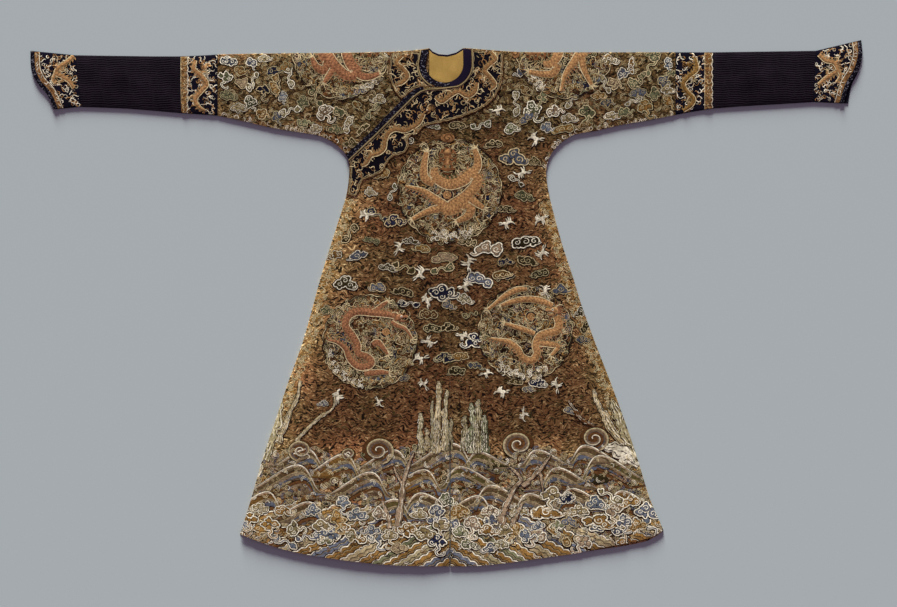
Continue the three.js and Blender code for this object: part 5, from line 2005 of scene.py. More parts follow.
class Hem:
    """Everything below the lower roundels: peaks, coral, rolling waves, clouds and slanting stripes."""

    SEAM = 10.8  # x of the middle seam, mm
    STRIPES = (
        OCHRE, SAND, OCHRE, SLATE, OCHRE, BONE, OCHRE, SAGE, OCHRE, SAND, OCHRE, SLATE, OCHRE, SAND, RUST,
    )
    # Each roller: the middle of its base, its width and height, and the side that it leans to.
    ROLLERS = (
        (-400, -440, 130, 40, 1), (-170, -452, 150, 48, 1), (-20, -452, 190, 62, 1),
        (110, -440, 120, 34, -1), (270, -440, 130, 38, -1), (400, -430, 130, 40, -1),
        (-308, -470, 150, 54, 1), (70, -500, 160, 50, -1), (330, -500, 150, 48, -1),
        (454, -484, 180, 62, -1), (-440, -512, 190, 64, 1), (-90, -508, 150, 50, 1),
        (-240, -524, 170, 58, 1), (-510, -560, 130, 44, 1), (150, -545, 150, 46, -1),
        (500, -555, 130, 42, -1), (-40, -566, 150, 46, -1), (-400, -590, 150, 46, 1),
        (-165, -580, 140, 44, 1), (370, -556, 150, 48, -1), (250, -560, 130, 40, -1),
        (60, -566, 130, 40, 1),
    )
    # Each crest: its middle, radius and hand.
    CRESTS = (
        (-392, -396, 36, 1), (-183, -396, 46, -1), (195, -380, 45, 1), (400, -364, 42, -1),
        (-300, -478, 14, 1), (-262, -405, 20, 1),
    )
    # Each column of rock: x, top and width in mm, its thread and how light it is.
    PEAKS = (
        (-20, -210, 14, SAND, 0.6), (1, -232, 12, BONE, 0.8), (-36, -262, 10, BONE, 0.5),
        (-6, -284, 13, SAND, 0.7), (14, -312, 10, BONE, 0.4), (-26, -326, 13, SAND, 0.6),
        (-68, -296, 13, BONE, 0.8), (-53, -336, 11, SAND, 0.5), (50, -304, 16, BONE, 0.4),
        (68, -268, 16, SAGE, 0.9), (86, -258, 15, BONE, 0.5), (104, -300, 13, SAGE, 0.8),
        (58, -348, 20, SAGE, 0.6), (80, -322, 20, BONE, 0.4), (102, -348, 18, SAGE, 0.6),
    )
    # Trunks and rocks near the sides: side, then x towards it, y and width along each, and thread.
    TRUNKS = (
        (-1, ((392, -208, 5), (400, -250, 7), (420, -292, 10), (436, -336, 12), (452, -372, 14)), SAND),
        (-1, ((300, -250, 4), (306, -284, 5), (340, -306, 7), (376, -340, 8), (404, -372, 10)), SAND),
        (-1, ((448, -256, 8), (454, -290, 18), (464, -330, 24), (474, -372, 22), (492, -420, 18)), BONE),
        (-1, ((486, -340, 12), (498, -378, 26), (512, -420, 34), (532, -470, 30)), CREAM),
        (1, ((398, -232, 5), (410, -272, 9), (430, -306, 12), (452, -346, 14), (484, -382, 12)), SAND),
        (1, ((446, -262, 8), (462, -300, 20), (478, -338, 26), (498, -380, 24), (520, -428, 18)), BONE),
        (1, ((420, -388, 10), (452, -392, 24), (492, -402, 32), (524, -430, 26)), CREAM),
        (1, ((330, -262, 4), (352, -296, 7), (372, -318, 8), (400, -330, 6)), RUST),
    )
    # Branches of coral: x, y and width along each.
    CORAL = (
        ((-128, -600, 17), (-122, -540, 13), (-116, -480, 10), (-98, -430, 7), (-86, -400, 3)),
        ((-152, -605, 15), (-158, -570, 11), (-172, -532, 5)),
        ((-118, -490, 6), (-132, -462, 5), (-140, -440, 2)),
        ((144, -590, 18), (160, -548, 15), (180, -505, 11), (206, -474, 6)),
        ((178, -590, 14), (192, -566, 11), (204, -540, 5)),
        ((206, -492, 9), (232, -470, 9), (262, -436, 7), (284, -408, 3)),
        ((205, -474, 6), (186, -452, 5), (170, -440, 2)), ((250, -450, 6), (258, -476, 6), (262, -510, 4)),
    )
    # A roller's bands: depth in mm, thread and shade, with none for the body's own; then the line at
    # the top of each: its width in mm, thread and lightness.
    BANDS = (
        (6, FAWN, 0.75, 2.9, CREAM, 1.25), (13, None, 0, 0.0, BARK, 0), (5, FAWN, 0.3, 1.8, SAND, 0.6),
        (16, SLATE, 0.35, 1.8, BONE, 0.8), (9, RUST, 0.25, 1.6, BARK, 0.2),
    )
    BODIES = ((OCHRE, 0.1), (MOSS, 0.95), (FAWN, -0.25))
    # A crest's strands: radius and width as shares of its own, thread and shade.
    STRANDS = (
        (0.70, 0.40, RUST, 0.3), (0.76, 0.18, SLATE, 0.3), (0.85, 0.26, FAWN, 0.1), (0.93, 0.12, FAWN, 0.6),
        (0.98, 0.08, BONE, 0.9),
    )
    FOAM = Swirls(34, (BARK, FAWN, SLATE, BONE), (0.3, 1.3), 0.6, size=(6, 12))
    SPRAY = Swirls(44, (SAND, CREAM, SAND), (0.4, 1.2), 1.25, 1.8)
    FOOT = Swirls(48, (CREAM, BARK, OCHRE), (0.5, 1.3), 1.0)
    BRIGHT = CloudLook((0.9, 1.45), (0.5, 1.15), (CREAM, SAND, CREAM, CREAM))

    def __init__(self, clouds: Cloudwork) -> None:
        """Keeps the maker of the clouds."""
        self.clouds, self.rng = clouds, clouds.rng

    def stripes(self) -> list[Patch]:
        """The slanting stripes, which fan out from the middle seam and step as they run to the hem.

        A stripe's line leaves its straight course by 5 mm * |sin(pi s / 25 mm + 0.8 n)| at the
        distance s along it.
        """
        box = (-0.62, -0.72, 0.63, -0.54)

        def low(points: Array) -> Array:
            """Distance to the hem's foot, whose top rises and falls."""
            return points[:, 1] + 0.565 - 0.03 * np.cos(points[:, 0] * 9)

        parts = [field_of(low, box, OCHRE, 0.15, 0.65, step=12 * MM)]
        s = np.linspace(0, 340, 70)
        for side in (-1, 1):
            mine: list[Patch] = []
            start, n = -260.0, 0
            while start < 640:
                slope = math.radians(38 - 16 * min(max(start, 0) / 420, 1))
                step = 5.0 * np.abs(np.sin(math.pi * s / 25 + 0.8 * n)) - 2.5
                along = np.array([side * math.cos(slope), -math.sin(slope)])
                across = np.array([side * math.sin(slope), math.cos(slope)])
                bend = np.array([0, 1]) * (0.00028 * s**2)[:, None]
                top = (side * start + self.SEAM, -558 + 0.03 * start)
                run = top + s[:, None] * along + step[:, None] * across + bend
                wide = self.rng.uniform(17, 25)
                thread = self.STRIPES[n % len(self.STRIPES)]
                shade = self.rng.uniform(0.65, 1.1) + 0.3 * np.sin(s / 30 + n * 1.7)
                bright = np.clip(0.5 + 0.5 * np.sin(s / 19 + n * 2.1), 0.1, 1)
                glint = 0.7 + 0.75 * bright
                mine += [
                    ribbon(run, wide + 3, thread, shade, 0.3 + 0.04 * (n % 3), 0.35, 4),
                    ribbon(run + across * (wide / 2 + 2.1), 3.2, BARK, 0.2, 0.6, 0.05, 2),
                    ribbon(run + across * wide / 2, 1.8 + 1.5 * bright, CREAM, glint, 0.7, 0.15, 2),
                    ribbon(run - across * wide * 0.02, 1.4, BARK, 0.5, 0.75, 0.1, 2),
                    ribbon(run - across * wide * 0.12, 1.2, SAND, 0.2 + 0.5 * bright, 0.72, 0.1, 2),
                ]
                start += (wide + 1.0) / math.sin(slope)
                n += 1
            both = merged(mine).moved(0, 0, MM)
            parts.append(clipped(both, lambda p: side * (self.SEAM * MM - p[:, 0])))
        return parts

    def roller(self, wide: float, high: float, lean: int) -> Patch:
        """A rolling wave: bands that follow its back, in mm about the middle of its base.

        Its back has the height high (1 + cos pi u) / 2 for u from -1 to 1, leans to one side by
        half of its height, and falls a little past its foot; each band lies lower, and thins
        towards the foot. The slate band lies on the leaning side only.

        Args:
            wide: Its width.
            high: Its height.
            lean: Side that it leans to, 1 or -1.

        Returns:
            The patch.
        """
        u = np.linspace(-1.3, 1.3, 34)
        bell = 0.5 + 0.5 * np.cos(math.pi * np.clip(u, -1, 1)) - 0.1 * (np.abs(u) - 1) * (np.abs(u) > 1)
        sheer = np.clip(0.5 + 0.5 * lean * u, 0, 1)
        full = np.clip(bell * 2.2 + 0.1, 0.15, 1)
        back = np.column_stack([wide * 0.62 * u + 0.5 * lean * high * bell, high * bell])
        foot = np.vstack([back[5:-5], [(lean * 0.2 * wide, -4.0)]])
        body, own = self.BODIES[int(wide + high) // 10 % 3]
        parts = [plate(foot, body, 0.05, 0.5, 0.3, 0.1, 0.6, centre=(0.05 * lean * wide, high * 0.35))]
        depth = 0.0
        for n, (thick, thread, tone, line, edging, glint) in enumerate(self.BANDS):
            thread, tone = (body, own) if thread is None else (thread, tone)
            run = back + np.column_stack([lean * 0.3 * depth * bell, -depth * full])
            band = run - np.column_stack([np.zeros(34), thick * full / 2])
            share = full * (np.clip(2.4 * sheer - 0.6, 0, 1) if thread is SLATE else 1)
            fine = line * full * (share if thread is SLATE else 1)
            light = glint * bell * (0.8 + 0.35 * np.sin(u * 9 + wide))
            shade, rise = tone + 0.4 * sheer, 0.42 + 0.02 * n
            parts.append(ribbon(band, (thick + 1) * share, thread, shade, rise, 0.25, 3))
            if not depth:
                parts.append(ribbon(run + (0, 1.9), 2.0 * full, BARK, 0.3, 0.66, 0.05, 2))
            if line:
                parts.append(ribbon(run, fine, edging, light, 0.72, 0.2, 2))
            depth += thick
        return merged(parts)

    def crest(self, radius: float, hand: int) -> Patch:
        """A breaking crest: a broad spiral of brown and slate with a pale curl inside, in mm."""
        t = np.linspace(0, 1, 44)
        a = math.pi * (0.5 + hand * 0.9) + hand * -2 * math.pi * 1.75 * t
        run = (radius * (1 - 0.9 * t))[:, None] * np.column_stack([np.cos(a), 0.86 * np.sin(a)])
        taper = (1 - 0.8 * t) * np.minimum(1, 0.3 + 5 * t)
        parts = [plate(circle(26, radius * 0.95, 0.86), RUST, 0.1, 0.3, 0.1, 0.2, 0.7)]
        for n, (share, wide, thread, tone) in enumerate(self.STRANDS):
            width, rise = radius * wide * taper + 0.8, 0.4 + 0.15 * n
            parts.append(ribbon(run * share, width, thread, tone + 0.3 * t, rise, 0.2, 3))
        inner = run[18:] * 0.95
        parts.append(ribbon(inner, 2.4, CREAM, np.linspace(0.3, 1, len(inner)), 1.2, 0.2, 3))
        parts.append(ribbon(run[:26] * 1.05, 1.5, BARK, 0.3, 0.7, 0.05, 2))
        return merged(parts)

    def ragged(self, stations: Array, thread: Thread, grooves: int, tone: float) -> Patch:
        """A rough trunk or column of rock with broken grooves along it.

        Args:
            stations: x, y and width along it, mm, (n, 3).
            thread: Its thread.
            grooves: Lines along it.
            tone: Its shade.

        Returns:
            The patch, in place.
        """
        run = smooth(stations, 7)
        k = len(run)
        side = normals(run[:, :2])
        coarse = np.repeat(self.rng.uniform(-1, 1, (k // 3 + 1, 3)), 3, axis=0)[:k]
        width = run[:, 2] * (1 + 0.34 * coarse[:, 0] + 0.16 * self.rng.uniform(-1, 1, k))
        line = run[:, :2] + side * (0.12 * run[:, 2:3] * coarse[:, 1:2] + self.rng.uniform(-1, 1, (k, 1)))
        mottle = np.clip(tone + 0.45 * coarse[:, 2] + self.rng.uniform(-0.2, 0.2, k), 0, 1.4)
        parts = [
            ribbon(line, width + 3.5, BARK, 0.3, 0.75, 0.1, 2),
            ribbon(line, width, thread, mottle, 0.9, 0.4, 4),
        ]
        for share in np.linspace(-0.34, 0.34, grooves):
            groove = line + side * (share * width[:, None])
            dark, pale = (np.clip(self.rng.uniform(-0.1, 0.17, k) * width, 0, most) for most in (2.6, 2.2))
            parts.append(ribbon(groove, dark, BARK, 0.4, 1.3, 0.05, 2))
            beside = groove + side * 0.12 * width[:, None]
            parts.append(ribbon(beside, pale, CREAM, tone + 0.1, 1.3, 0.05, 2))
        return merged(parts).moved(0, 0, MM)

    def rocks(self) -> list[Patch]:
        """The rocks in the middle, the trunks and rocks at the sides, and the coral in the waves."""
        parts = []
        share = np.array([0, 0.3, 0.6, 0.85, 0.96, 1.0])
        for x, top, wide, thread, tone in self.PEAKS:
            low = -396 - self.rng.uniform(0, 10)
            width = wide * np.array([1.3, 1.15, 1.0, 0.9, 0.6, 0.15])
            sway = x + self.rng.uniform(-2.5, 2.5, 6)
            column = np.column_stack([sway, low + (top - low) * share, width])
            parts.append(self.ragged(column, thread, 3, tone))
        for side, stations, thread in self.TRUNKS:
            parts.append(self.ragged(np.array(stations) * (side, 1, 1.3), thread, 3, 0.8))
        for stations in self.CORAL:
            parts.append(self.ragged(np.array(stations) * (1, 1, 1.15), FAWN, 2, 0.85).raised(0.6))
        return parts

    def waves(self) -> list[Patch]:
        """Curls and clouds of water, the rollers among them, spray, and the breaking crests."""
        rng = self.rng
        box = (-0.60, -0.64, 0.61, -0.38)

        def sea(points: Array) -> Array:
            """Distance to the sea, whose top rises and falls."""
            return np.maximum(points[:, 1] + 0.40 + 0.02 * np.sin(points[:, 0] * 20), -0.64 - points[:, 1])

        waves = []
        for spot in scattered(box, 30 * MM, rng, lambda p: sea(p) < 0):
            fill = (FAWN, MOSS, SLATE, FAWN, MOSS, OCHRE)[rng.integers(6)]
            shape, line = (WISP, HEAP, LEAF)[rng.integers(3)], (BONE, RUST, SAND)[rng.integers(3)]
            cloud = self.clouds.cloud(shape, fill, line)
            waves.append(cloud.moved(*spot, rng.uniform(0.6, 0.9) * MM, rng.uniform(-70, 70)))
        waves += self.FOAM.strew(sea, box, rng)
        for n, (x, y, wide, high, lean) in enumerate(self.ROLLERS):
            patch = self.roller(wide, high * 1.2, lean).raised(0.1 + 0.012 * n)
            waves.append(patch.moved(x * MM, y * MM, MM))
        waves += self.SPRAY.strew(sea, box, rng)
        for x, y, radius, hand in self.CRESTS:
            waves.append(self.crest(radius, hand).raised(0.4).moved(x * MM, y * MM, MM))
        return waves

    def hem_clouds(self) -> list[Patch]:
        """A row of bright clouds along the foot of the sea, more given in a list, and curls below them."""
        rng = self.rng
        self.clouds.look = self.BRIGHT
        row = []
        for x in np.arange(-560, 575, 62):
            fill = (OCHRE, OCHRE, SLATE, SAND, OCHRE, FAWN, ICE)[rng.integers(7)]
            shape = (HEAP, WISP, WISP, HEAD)[rng.integers(4)]
            y = -600 + 26 * math.cos(x / 115) + rng.uniform(-34, 26)
            row.append((x, y, shape, fill, rng.uniform(0.8, 1.05), rng.uniform(-50, 50)))
        clouds = self.clouds.spread(row, 1.5, 0.5) + self.clouds.spread(HEM_SPOTS, 1.5, 0.75)
        self.clouds.look = CloudLook()
        return clouds + self.FOOT.strew(lambda p: p[:, 1] + 0.60, (-0.60, -0.71, 0.61, -0.59), rng)

    def patches(self) -> dict[str, list[Patch]]:
        """Everything on the hem, by family."""
        waves, clouds = self.waves(), self.hem_clouds()
        y = np.linspace(-705, -372, 60)
        seam = ribbon(np.column_stack([np.full(60, self.SEAM), y]), 2.8, NIGHT, 0.0, 2.0, 0.1, 2)
        rocks = [*self.rocks(), seam.moved(0, 0, MM)]
        return {"stripes": self.stripes(), "waves": waves, "rocks": rocks, "hem_clouds": clouds}


# ---------------------------------------------------------------- facings, bands and cuffs


@dataclass(frozen=True)
class Brocade:
    """Scrolls and dragons of metal thread on a dark ground.

    Attributes:
        node: Which cloth they lie on.
        dragons: Body stations of each dragon, mm.
        heads: Middle, size in mm, turn and mirror of each head.
        gap: Spacing of the scrolls, mm.
        pale: Second thread of the scrolls, after gold.
        thread: Thread of the dragons.
    """

    node: str
    dragons: tuple[Stations, ...]
    heads: tuple[tuple[float, float, float, float, bool], ...] = ()
    gap: float = 19
    pale: Thread = SAND
    thread: Thread = GOLD

    LIMB = 60  # length that a limb's stations are shares of, mm
    JOINTS = np.array([(0, 0), (0.14, 0.10), (0.26, 0.0)])  # how far out and ahead each joint lies

    def patches(self, cloth: Cloth, rng: Chance) -> list[Patch]:
        """Builds the figures in place.

        Args:
            cloth: The cloth that they lie on.
            rng: Source of chance.

        Returns:
            Their patches.
        """
        box = (*cloth.corners[:, :2].min(0), *cloth.corners[:, :2].max(0))

        def clumps(points: Array) -> Array:
            """Distance to the free cloth, less the gaps between clumps of scrolls."""
            wave = np.sin(points[:, 0] * 190 + 2 * np.sin(points[:, 1] * 90)) * np.sin(points[:, 1] * 170)
            return np.maximum(cloth.free(points), 4 * MM * (wave - 0.65))

        gap, tones = self.gap, (GOLD, self.pale)
        hooks = Scrolls(gap, tones, (0.3, 1.45), width=2.1, length=(20, 34), bend=(2.4, 3.6))
        size = (0.3 * gap, 0.45 * gap)
        arcs = Swirls(gap * 1.2, tones, (0.2, 1.3), 0.28, size=size, nested=1, turns=0.8, shrink=0.6)
        parts = hooks.strew(clumps, box, rng) + arcs.strew(clumps, box, rng)
        dragon = Dragon(thread=self.thread, flame=self.thread, halo=5.5)
        for stations in self.dragons:
            parts.append(dragon.scaled(np.array(stations), MM, 0.6, True).moved(0, 0, MM))
            parts += self.limbs(dragon, np.array(stations)[:, :2] / self.LIMB)
        for x, y, size, turn, flip in self.heads:
            parts.append(replace(dragon, halo=5).profile().moved(x * MM, y * MM, size * MM, turn, flip))
        return parts

    def limbs(self, dragon: Dragon, run: Array) -> list[Patch]:
        """Two short limbs that stick out from a long body's line, and none from a short one."""
        parts = []
        ends = ((2, 1), (len(run) - 3, -1)) if len(run) > 5 else ()
        for k, hand in ends:
            ahead = run[k + 1] - run[k - 1]
            ahead = ahead / np.linalg.norm(ahead)
            out = hand * crosswise(ahead)
            joints = run[k] + self.JOINTS[:, :1] * out + self.JOINTS[:, 1:] * ahead
            limb = dragon.limb(np.column_stack([joints, (0.16, 0.12, 0.07)]), self.LIMB * MM)
            parts.append(limb.moved(0, 0, self.LIMB * MM))
        return parts


BROCADES = (
    Brocade(
        "collar_facing",
        (
            (
                (-228, 370, 5), (-214, 378, 9), (-203, 398, 11), (-182, 405, 12), (-167, 418, 12),
                (-164, 440, 13), (-155, 460, 13), (-136, 470, 13), (-112, 466, 13), (-92, 474, 12),
                (-72, 488, 12), (-60, 512, 10),
            ),
            (
                (-30, 556, 6), (-12, 544, 11), (10, 560, 13), (34, 572, 13), (58, 560, 13), (78, 572, 12),
                (84, 596, 9),
            ),
            (
                (118, 574, 6), (132, 590, 11), (118, 610, 13), (104, 628, 13), (118, 646, 13),
                (134, 660, 11), (122, 678, 8),
            ),
        ),
        ((-48, 520, 13, 40, False), (94, 604, 12, -60, True), (112, 680, 11, 60, False)),
    ),
    Brocade(
        "collar_facing_under",
        (((-136, 588, 6), (-118, 596, 11), (-104, 614, 13), (-118, 634, 13), (-134, 650, 12),
          (-118, 668, 9)),),
        ((-104, 668, 11, 20, True),),
    ),
    Brocade(
        "band_right",
        (
            (
                (-650, 520, 6), (-668, 532, 10), (-676, 552, 12), (-660, 574, 13), (-646, 592, 13),
                (-660, 614, 13), (-680, 632, 12), (-676, 656, 8),
            ),
        ),
        ((-645, 640, 11, 200, False),),
        16, CREAM, COPPER,
    ),
    Brocade(
        "band_left",
        (
            (
                (640, 520, 8), (660, 534, 11), (668, 552, 12), (648, 574, 12), (640, 594, 12),
                (656, 614, 12), (676, 632, 12), (672, 664, 8),
            ),
        ),
        ((648, 646, 10, -20, False),),
        16, CREAM, OCHRE,
    ),
    Brocade(
        "cuff_right",
        (
            (
                (-1004, 668, 11), (-1020, 654, 11), (-1040, 640, 12), (-1052, 622, 12), (-1034, 612, 12),
                (-1016, 600, 11), (-1004, 580, 8),
            ),
            ((-1052, 624, 9), (-1060, 604, 8), (-1054, 592, 4)),
        ),
        ((-1052, 640, 9, 0, False),),
        15, CREAM, COPPER,
    ),
    Brocade(
        "cuff_left",
        (
            (
                (1006, 672, 11), (1024, 656, 12), (1046, 650, 12), (1056, 630, 12), (1038, 616, 12),
                (1020, 604, 10), (1004, 590, 8),
            ),
            ((1054, 636, 9), (1064, 616, 8), (1052, 596, 4)),
        ),
        ((1058, 652, 9, 0, True),),
        15, CREAM, COPPER,
    ),
)


class Trim:
    """Borders that follow an edge: on the facings, bands and cuffs, and along the robe's sides."""

    # Gold borders of the cuffs, from near to far inside the binding in mm, and their rise.
    CUFF_LINES = ((0, 14, GOLD, 0.55), (14, 16.5, BARK, 0.5), (12, 14.2, CREAM, 0.7))
    CUFF_CURLS = Scrolls(11, (RUST, CREAM), rise=0.9, width=1.7, length=(12, 18))
    BAND_CURLS = Scrolls(11, (RUST, SAND, OCHRE), rise=0.9, width=1.7)
    # Wavy lines inside a facing's edge: from near to far in mm, thread, rise and shade.
    FACING_LINES = ((0, 5, RUST, 0.4, 0.3), (2.4, 3.6, SAND, 0.5, 0.35), (6.0, 7.3, SAND, 0.55, 0.6))
    SIDE_CURLS = Swirls(17, (OCHRE, SAND, OCHRE, BONE), (0.6, 1.35), size=(5, 9), turns=0.6)
    UNDER_CURLS = Swirls(13, (SAND, CREAM), (0.6, 1.35), size=(5, 9), turns=0.6)
    SLEEVE_WISPS = Swirls(29, (MOSS, BARK, SAND, BONE), (0.0, 1.1), 0.15, 1.7, (5, 11), turns=0.5)
    BODY_WISPS = Swirls(58, (MOSS, BARK, MOSS), (0.1, 0.9), 0.15, 1.7, (5, 11), turns=0.5)

    def __init__(self, garment: Garment, rng: Chance) -> None:
        """Keeps the cloths."""
        self.cloths, self.silhouette = garment.cloths, garment.silhouette
        self.rng = rng

    @staticmethod
    def box(node: str) -> Box:
        """Plan box of a piece."""
        low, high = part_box(node)
        return (low[0], low[1], high[0], high[1])

    def lines(self, node: str, edge: Field, rows: Sequence[tuple]) -> list[Patch]:
        """Strips of a node's plan box between two depths inside an edge.

        Args:
            node: The node.
            edge: Distance field of the edge.
            rows: For each strip, both depths in mm, thread, rise and shade.

        Returns:
            The patches.
        """
        parts = []
        for near, far, thread, rise, shade in rows:
            strip = field_of(lambda p: edge(p) + near * MM, self.box(node), thread, rise, shade)
            parts.append(clipped(strip, lambda p: -(edge(p) + far * MM)))
        return parts

    def cuffs(self, side: str) -> list[Patch]:
        """The gold border inside a cuff's binding, with a cream line at its inner edge."""
        node, binding = f"cuff_{side}", self.cloths[f"cuff_binding_{side}"].outline

        def tone(points: Array) -> Array:
            """Shade of the gold, in soft chequers."""
            return 0.6 + 0.35 * np.sin(points[:, 0] * 330) * np.sin(points[:, 1] * 260)

        def gold(points: Array) -> Array:
            """Distance to the border."""
            return np.maximum(binding(points) - 13 * MM, 2 * MM - binding(points))

        parts = []
        for near, far, thread, rise in self.CUFF_LINES:
            strip = field_of(lambda p: binding(p) - far * MM, self.box(node), thread, rise, tone)
            parts.append(clipped(strip, lambda p: near * MM - binding(p)))
        return parts + self.CUFF_CURLS.strew(gold, self.box(node), self.rng)

    def facing(self, node: str) -> list[Patch]:
        """The wavy olive and cream border of a facing."""
        cloth = self.cloths[node].outline

        def edge(points: Array) -> Array:
            """Distance to the facing's edge, made wavy."""
            return cloth(points) + 1.6 * MM * np.sin(points[:, 0] * 260) * np.sin(points[:, 1] * 240)

        return self.lines(node, edge, self.FACING_LINES)

    def edge_curls(self) -> list[Patch]:
        """Light curls along the body's sides and along the lower edges of the sleeves."""
        box = (-0.60, -0.66, 0.62, 0.60)

        def sides(points: Array) -> Array:
            """Distance to a strip inside the sides of the body."""
            depth = self.silhouette(points)
            return np.maximum(np.maximum(-30 * MM - depth, depth), points[:, 1] - 0.28)

        def under(points: Array) -> Array:
            """Distance to a strip inside the lower edges of the sleeves."""
            depth = self.silhouette(points)
            inner = np.maximum(0.2 - np.abs(points[:, 0]), points[:, 1] - 0.56)
            return np.maximum(np.maximum(-11 * MM - depth, depth), np.maximum(inner, 0.36 - points[:, 1]))

        parts = self.SIDE_CURLS.strew(sides, box, self.rng)
        return parts + self.UNDER_CURLS.strew(under, box, self.rng)

    def wisps(self) -> list[Patch]:
        """Thin broken curls between the clouds, thickest on the sleeves."""

        def upper(points: Array) -> Array:
            """Distance to the sleeves and shoulders."""
            x, y = np.abs(points[:, 0]), points[:, 1]
            return np.maximum(0.46 + 0.25 * np.maximum(0.2 - x, 0) - y, x - 0.60)

        def lower(points: Array) -> Array:
            """Distance to the middle of the body."""
            return np.maximum(points[:, 1] - 0.5, -0.36 - points[:, 1])

        parts = self.SLEEVE_WISPS.strew(upper, (-0.60, 0.40, 0.61, 0.71), self.rng)
        return parts + self.BODY_WISPS.strew(lower, (-0.45, -0.36, 0.47, 0.5), self.rng)

    def sleeve_bands(self, node: str, x: float, wide: float) -> list[Patch]:
        """The upright gold border of a patterned band.

        Args:
            node: The band.
            x: Middle of the border.
            wide: Its width.

        Returns:
            Its patches.
        """
        _, low, _, high = self.box(node)
        y = np.arange(low, high, 2 * MM)
        line = np.column_stack([np.full(len(y), x), y])
        wavy = line + np.column_stack([wide / 2 + 1.5 * MM * np.sin(y * 300), np.zeros(len(y))])
        box = (x - wide / 2, low, x + wide / 2, high)
        return self.BAND_CURLS.strew(lambda p: np.abs(p[:, 0] - x) - wide / 2, box, self.rng) + [
            ribbon(line, wide, GOLD, 0.55 + 0.4 * np.sin(y * 420), 0.45, 0.3, 5),
            ribbon(wavy, 1.8 * MM, CREAM, 0.8, 0.75, 0.1, 2),
            ribbon(line - (wide / 2, 0), 1.6 * MM, SAND, 0.8, 0.75, 0.1, 2),
        ]


# ---------------------------------------------------------------- stage


@dataclass(frozen=True)
class Studio:
    """A pale floor, a low soft light from above the shoulders, an even fill, and the camera.

    Attributes:
        view_width: Width of the floor that the camera takes in.
        lens: Focal length, mm.
        film: Width of the film, mm.
        middle: Where the camera looks straight down.
        floor: Colour of the floor.
        reach: How far the floor reaches to each side.
    """

    view_width: float = 2.4219
    lens: float = 100
    film: float = 36
    middle: tuple[float, float] = (6.75 * MM, 0.0)
    floor: str = "a6afb1"
    reach: float = 25.0

    def build(self) -> None:
        """Makes the stage."""
        scene = bpy.context.scene
        scene.view_settings.view_transform = "Standard"
        self.camera(scene)
        self.lights(scene)
        self.ground()

    def camera(self, scene: bpy.types.Scene) -> None:
        """Hangs the camera level above the robe."""
        lens = bpy.data.cameras.new("camera")
        lens.lens, lens.sensor_width = self.lens, self.film
        lens.clip_end = 60
        holder = bpy.data.objects.new("camera", lens)
        holder.location = (*self.middle, self.view_width * self.lens / self.film)
        scene.collection.objects.link(holder)
        scene.camera = holder

    @staticmethod
    def lights(scene: bpy.types.Scene) -> None:
        """Sets a low key from +Y, and an even sky for fill."""
        key = bpy.data.lights.new("key", "SUN")
        key.energy, key.angle = 10.2, math.radians(18)
        key.color = (0.983, 1.02, 0.972)
        lamp = bpy.data.objects.new("key", key)
        lamp.rotation_euler = (math.radians(-77), 0, math.radians(6))
        scene.collection.objects.link(lamp)
        world = bpy.data.worlds.new("fill")
        world.use_nodes = True
        sky = world.node_tree.nodes["Background"].inputs
        sky["Color"].default_value = (1.0, 0.71, 0.99, 1)
        sky["Strength"].default_value = 0.23
        scene.world = world

    def ground(self) -> None:
        """Lays the floor, just under the robe."""
        corners = np.array([(-1, -1, 0), (1, -1, 0), (1, 1, 0), (-1, 1, 0)]) * self.reach
        floor = new_object("floor", corners, np.array([(0, 1, 2), (0, 2, 3)]))
        floor.location.z = -0.2 * MM
        material = bpy.data.materials.new("floor")
        material.use_nodes = True
        net = Net(material.node_tree)
        shader = net.tree.nodes["Principled BSDF"]
        grain = net.noise(net.place((300, 300, 300)), 1, 3, 0.7)
        tone = np.array(linear(self.floor))
        net.join(net.mix(grain, (*(tone * 0.95), 1), (*(tone * 1.05), 1)), shader.inputs["Base Color"])
        shader.inputs["Roughness"].default_value = 0.9
        floor.data.materials.append(material)


# ---------------------------------------------------------------- putting it together


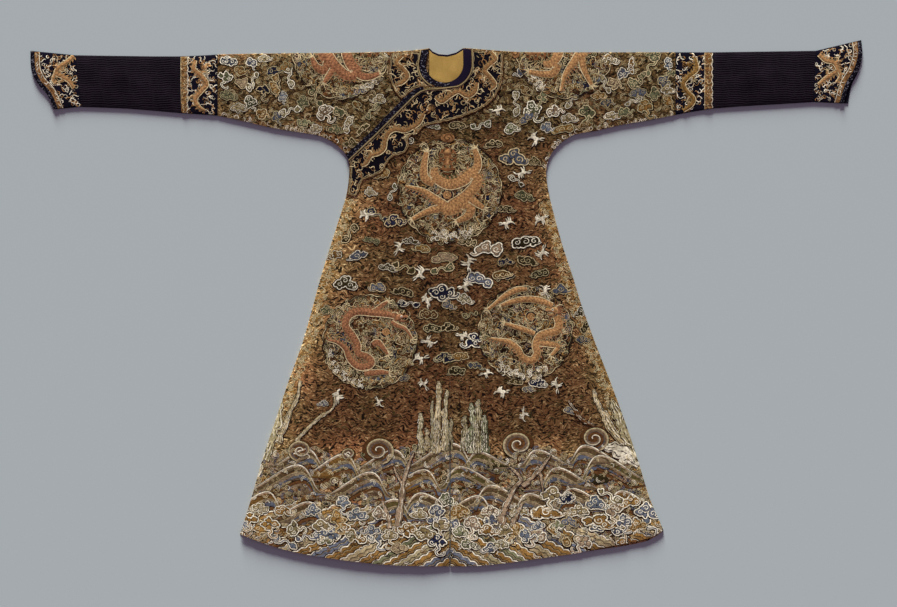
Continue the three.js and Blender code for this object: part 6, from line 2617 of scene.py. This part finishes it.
def embroider(garment: Garment, stitches: Stitchwork) -> None:
    """Lays every family of figures on the cloth.

    Args:
        garment: The cloth.
        stitches: What lays the figures.
    """
    cloths = garment.cloths
    body = [cloths[node] for node in ("right_body", "left_body", "overlap")]
    clouds = Cloudwork(seed=11)
    trim = Trim(garment, clouds.rng)
    for family, patches in Hem(clouds).patches().items():
        stitches.lay(family, patches, body)
    stitches.lay("clouds", clouds.spread(BODY_SPOTS, 1.3), body)
    stitches.lay("sleeve_clouds", clouds.spread(SLEEVE_SPOTS, 1.34), body)
    stitches.lay("edge_curls", trim.edge_curls() + trim.wisps(), body)
    for i, roundel in enumerate(ROUNDELS):
        stitches.lay(f"roundel_{i + 1}", roundel.patches(clouds), body)
    borders = {
        "collar_facing": trim.facing("collar_facing"),
        "collar_facing_under": trim.facing("collar_facing_under"),
        "band_right": trim.sleeve_bands("band_right", -0.706, 18 * MM),
        "band_left": trim.sleeve_bands("band_left", 0.708, 20 * MM),
        "cuff_right": trim.cuffs("right"),
        "cuff_left": trim.cuffs("left"),
    }
    for brocade in BROCADES:
        cloth = cloths[brocade.node]
        stitches.lay("figures", brocade.patches(cloth, clouds.rng) + borders[brocade.node], [cloth])


FINISHES = {
    "brocade": BrocadeFinish("brocade"),
    "navy": PlainFinish("navy_silk", dark="0b0a12", light="171322", flecks=0.5),
    "facing": PlainFinish("facing_silk", dark="08070b", light="130f19", flecks=0.5),
    "silk": PlainFinish("ribbed_silk", dark="120e13", light="241c25"),
    "binding": PlainFinish("binding_silk", dark="0a0810", light="16121d", speck="6c6a72", speck_share=0.09),
    "ring": PlainFinish("ring_silk", dark="120d1b", light="1f182c"),
    # strength 0.9: the weave's painted shade is strong in the cord's twist.
    "cord": PlainFinish("cord_silk", dark="7a6a4a", light="a08e66", weft=2.2 * MM, strength=0.9),
    "lining": PlainFinish("yellow_silk", dark="94763a", light="b69555", flecks=0.2),
    "thread": ThreadFinish("silk_thread"),
}


def main() -> None:
    """Builds the stage, the cloth and its embroidery."""
    logging.basicConfig(level=logging.INFO, format="%(message)s")
    Studio().build()
    weave, ageing = weave_group(), ageing_group()
    materials = {key: finish.build(weave, ageing) for key, finish in FINISHES.items()}
    garment = Garment(materials)
    garment.build()
    stitches = Stitchwork(materials["thread"], "brocade")
    embroider(garment, stitches)
    garment.declare(stitches.made)


if __name__ == "__main__":
    main()
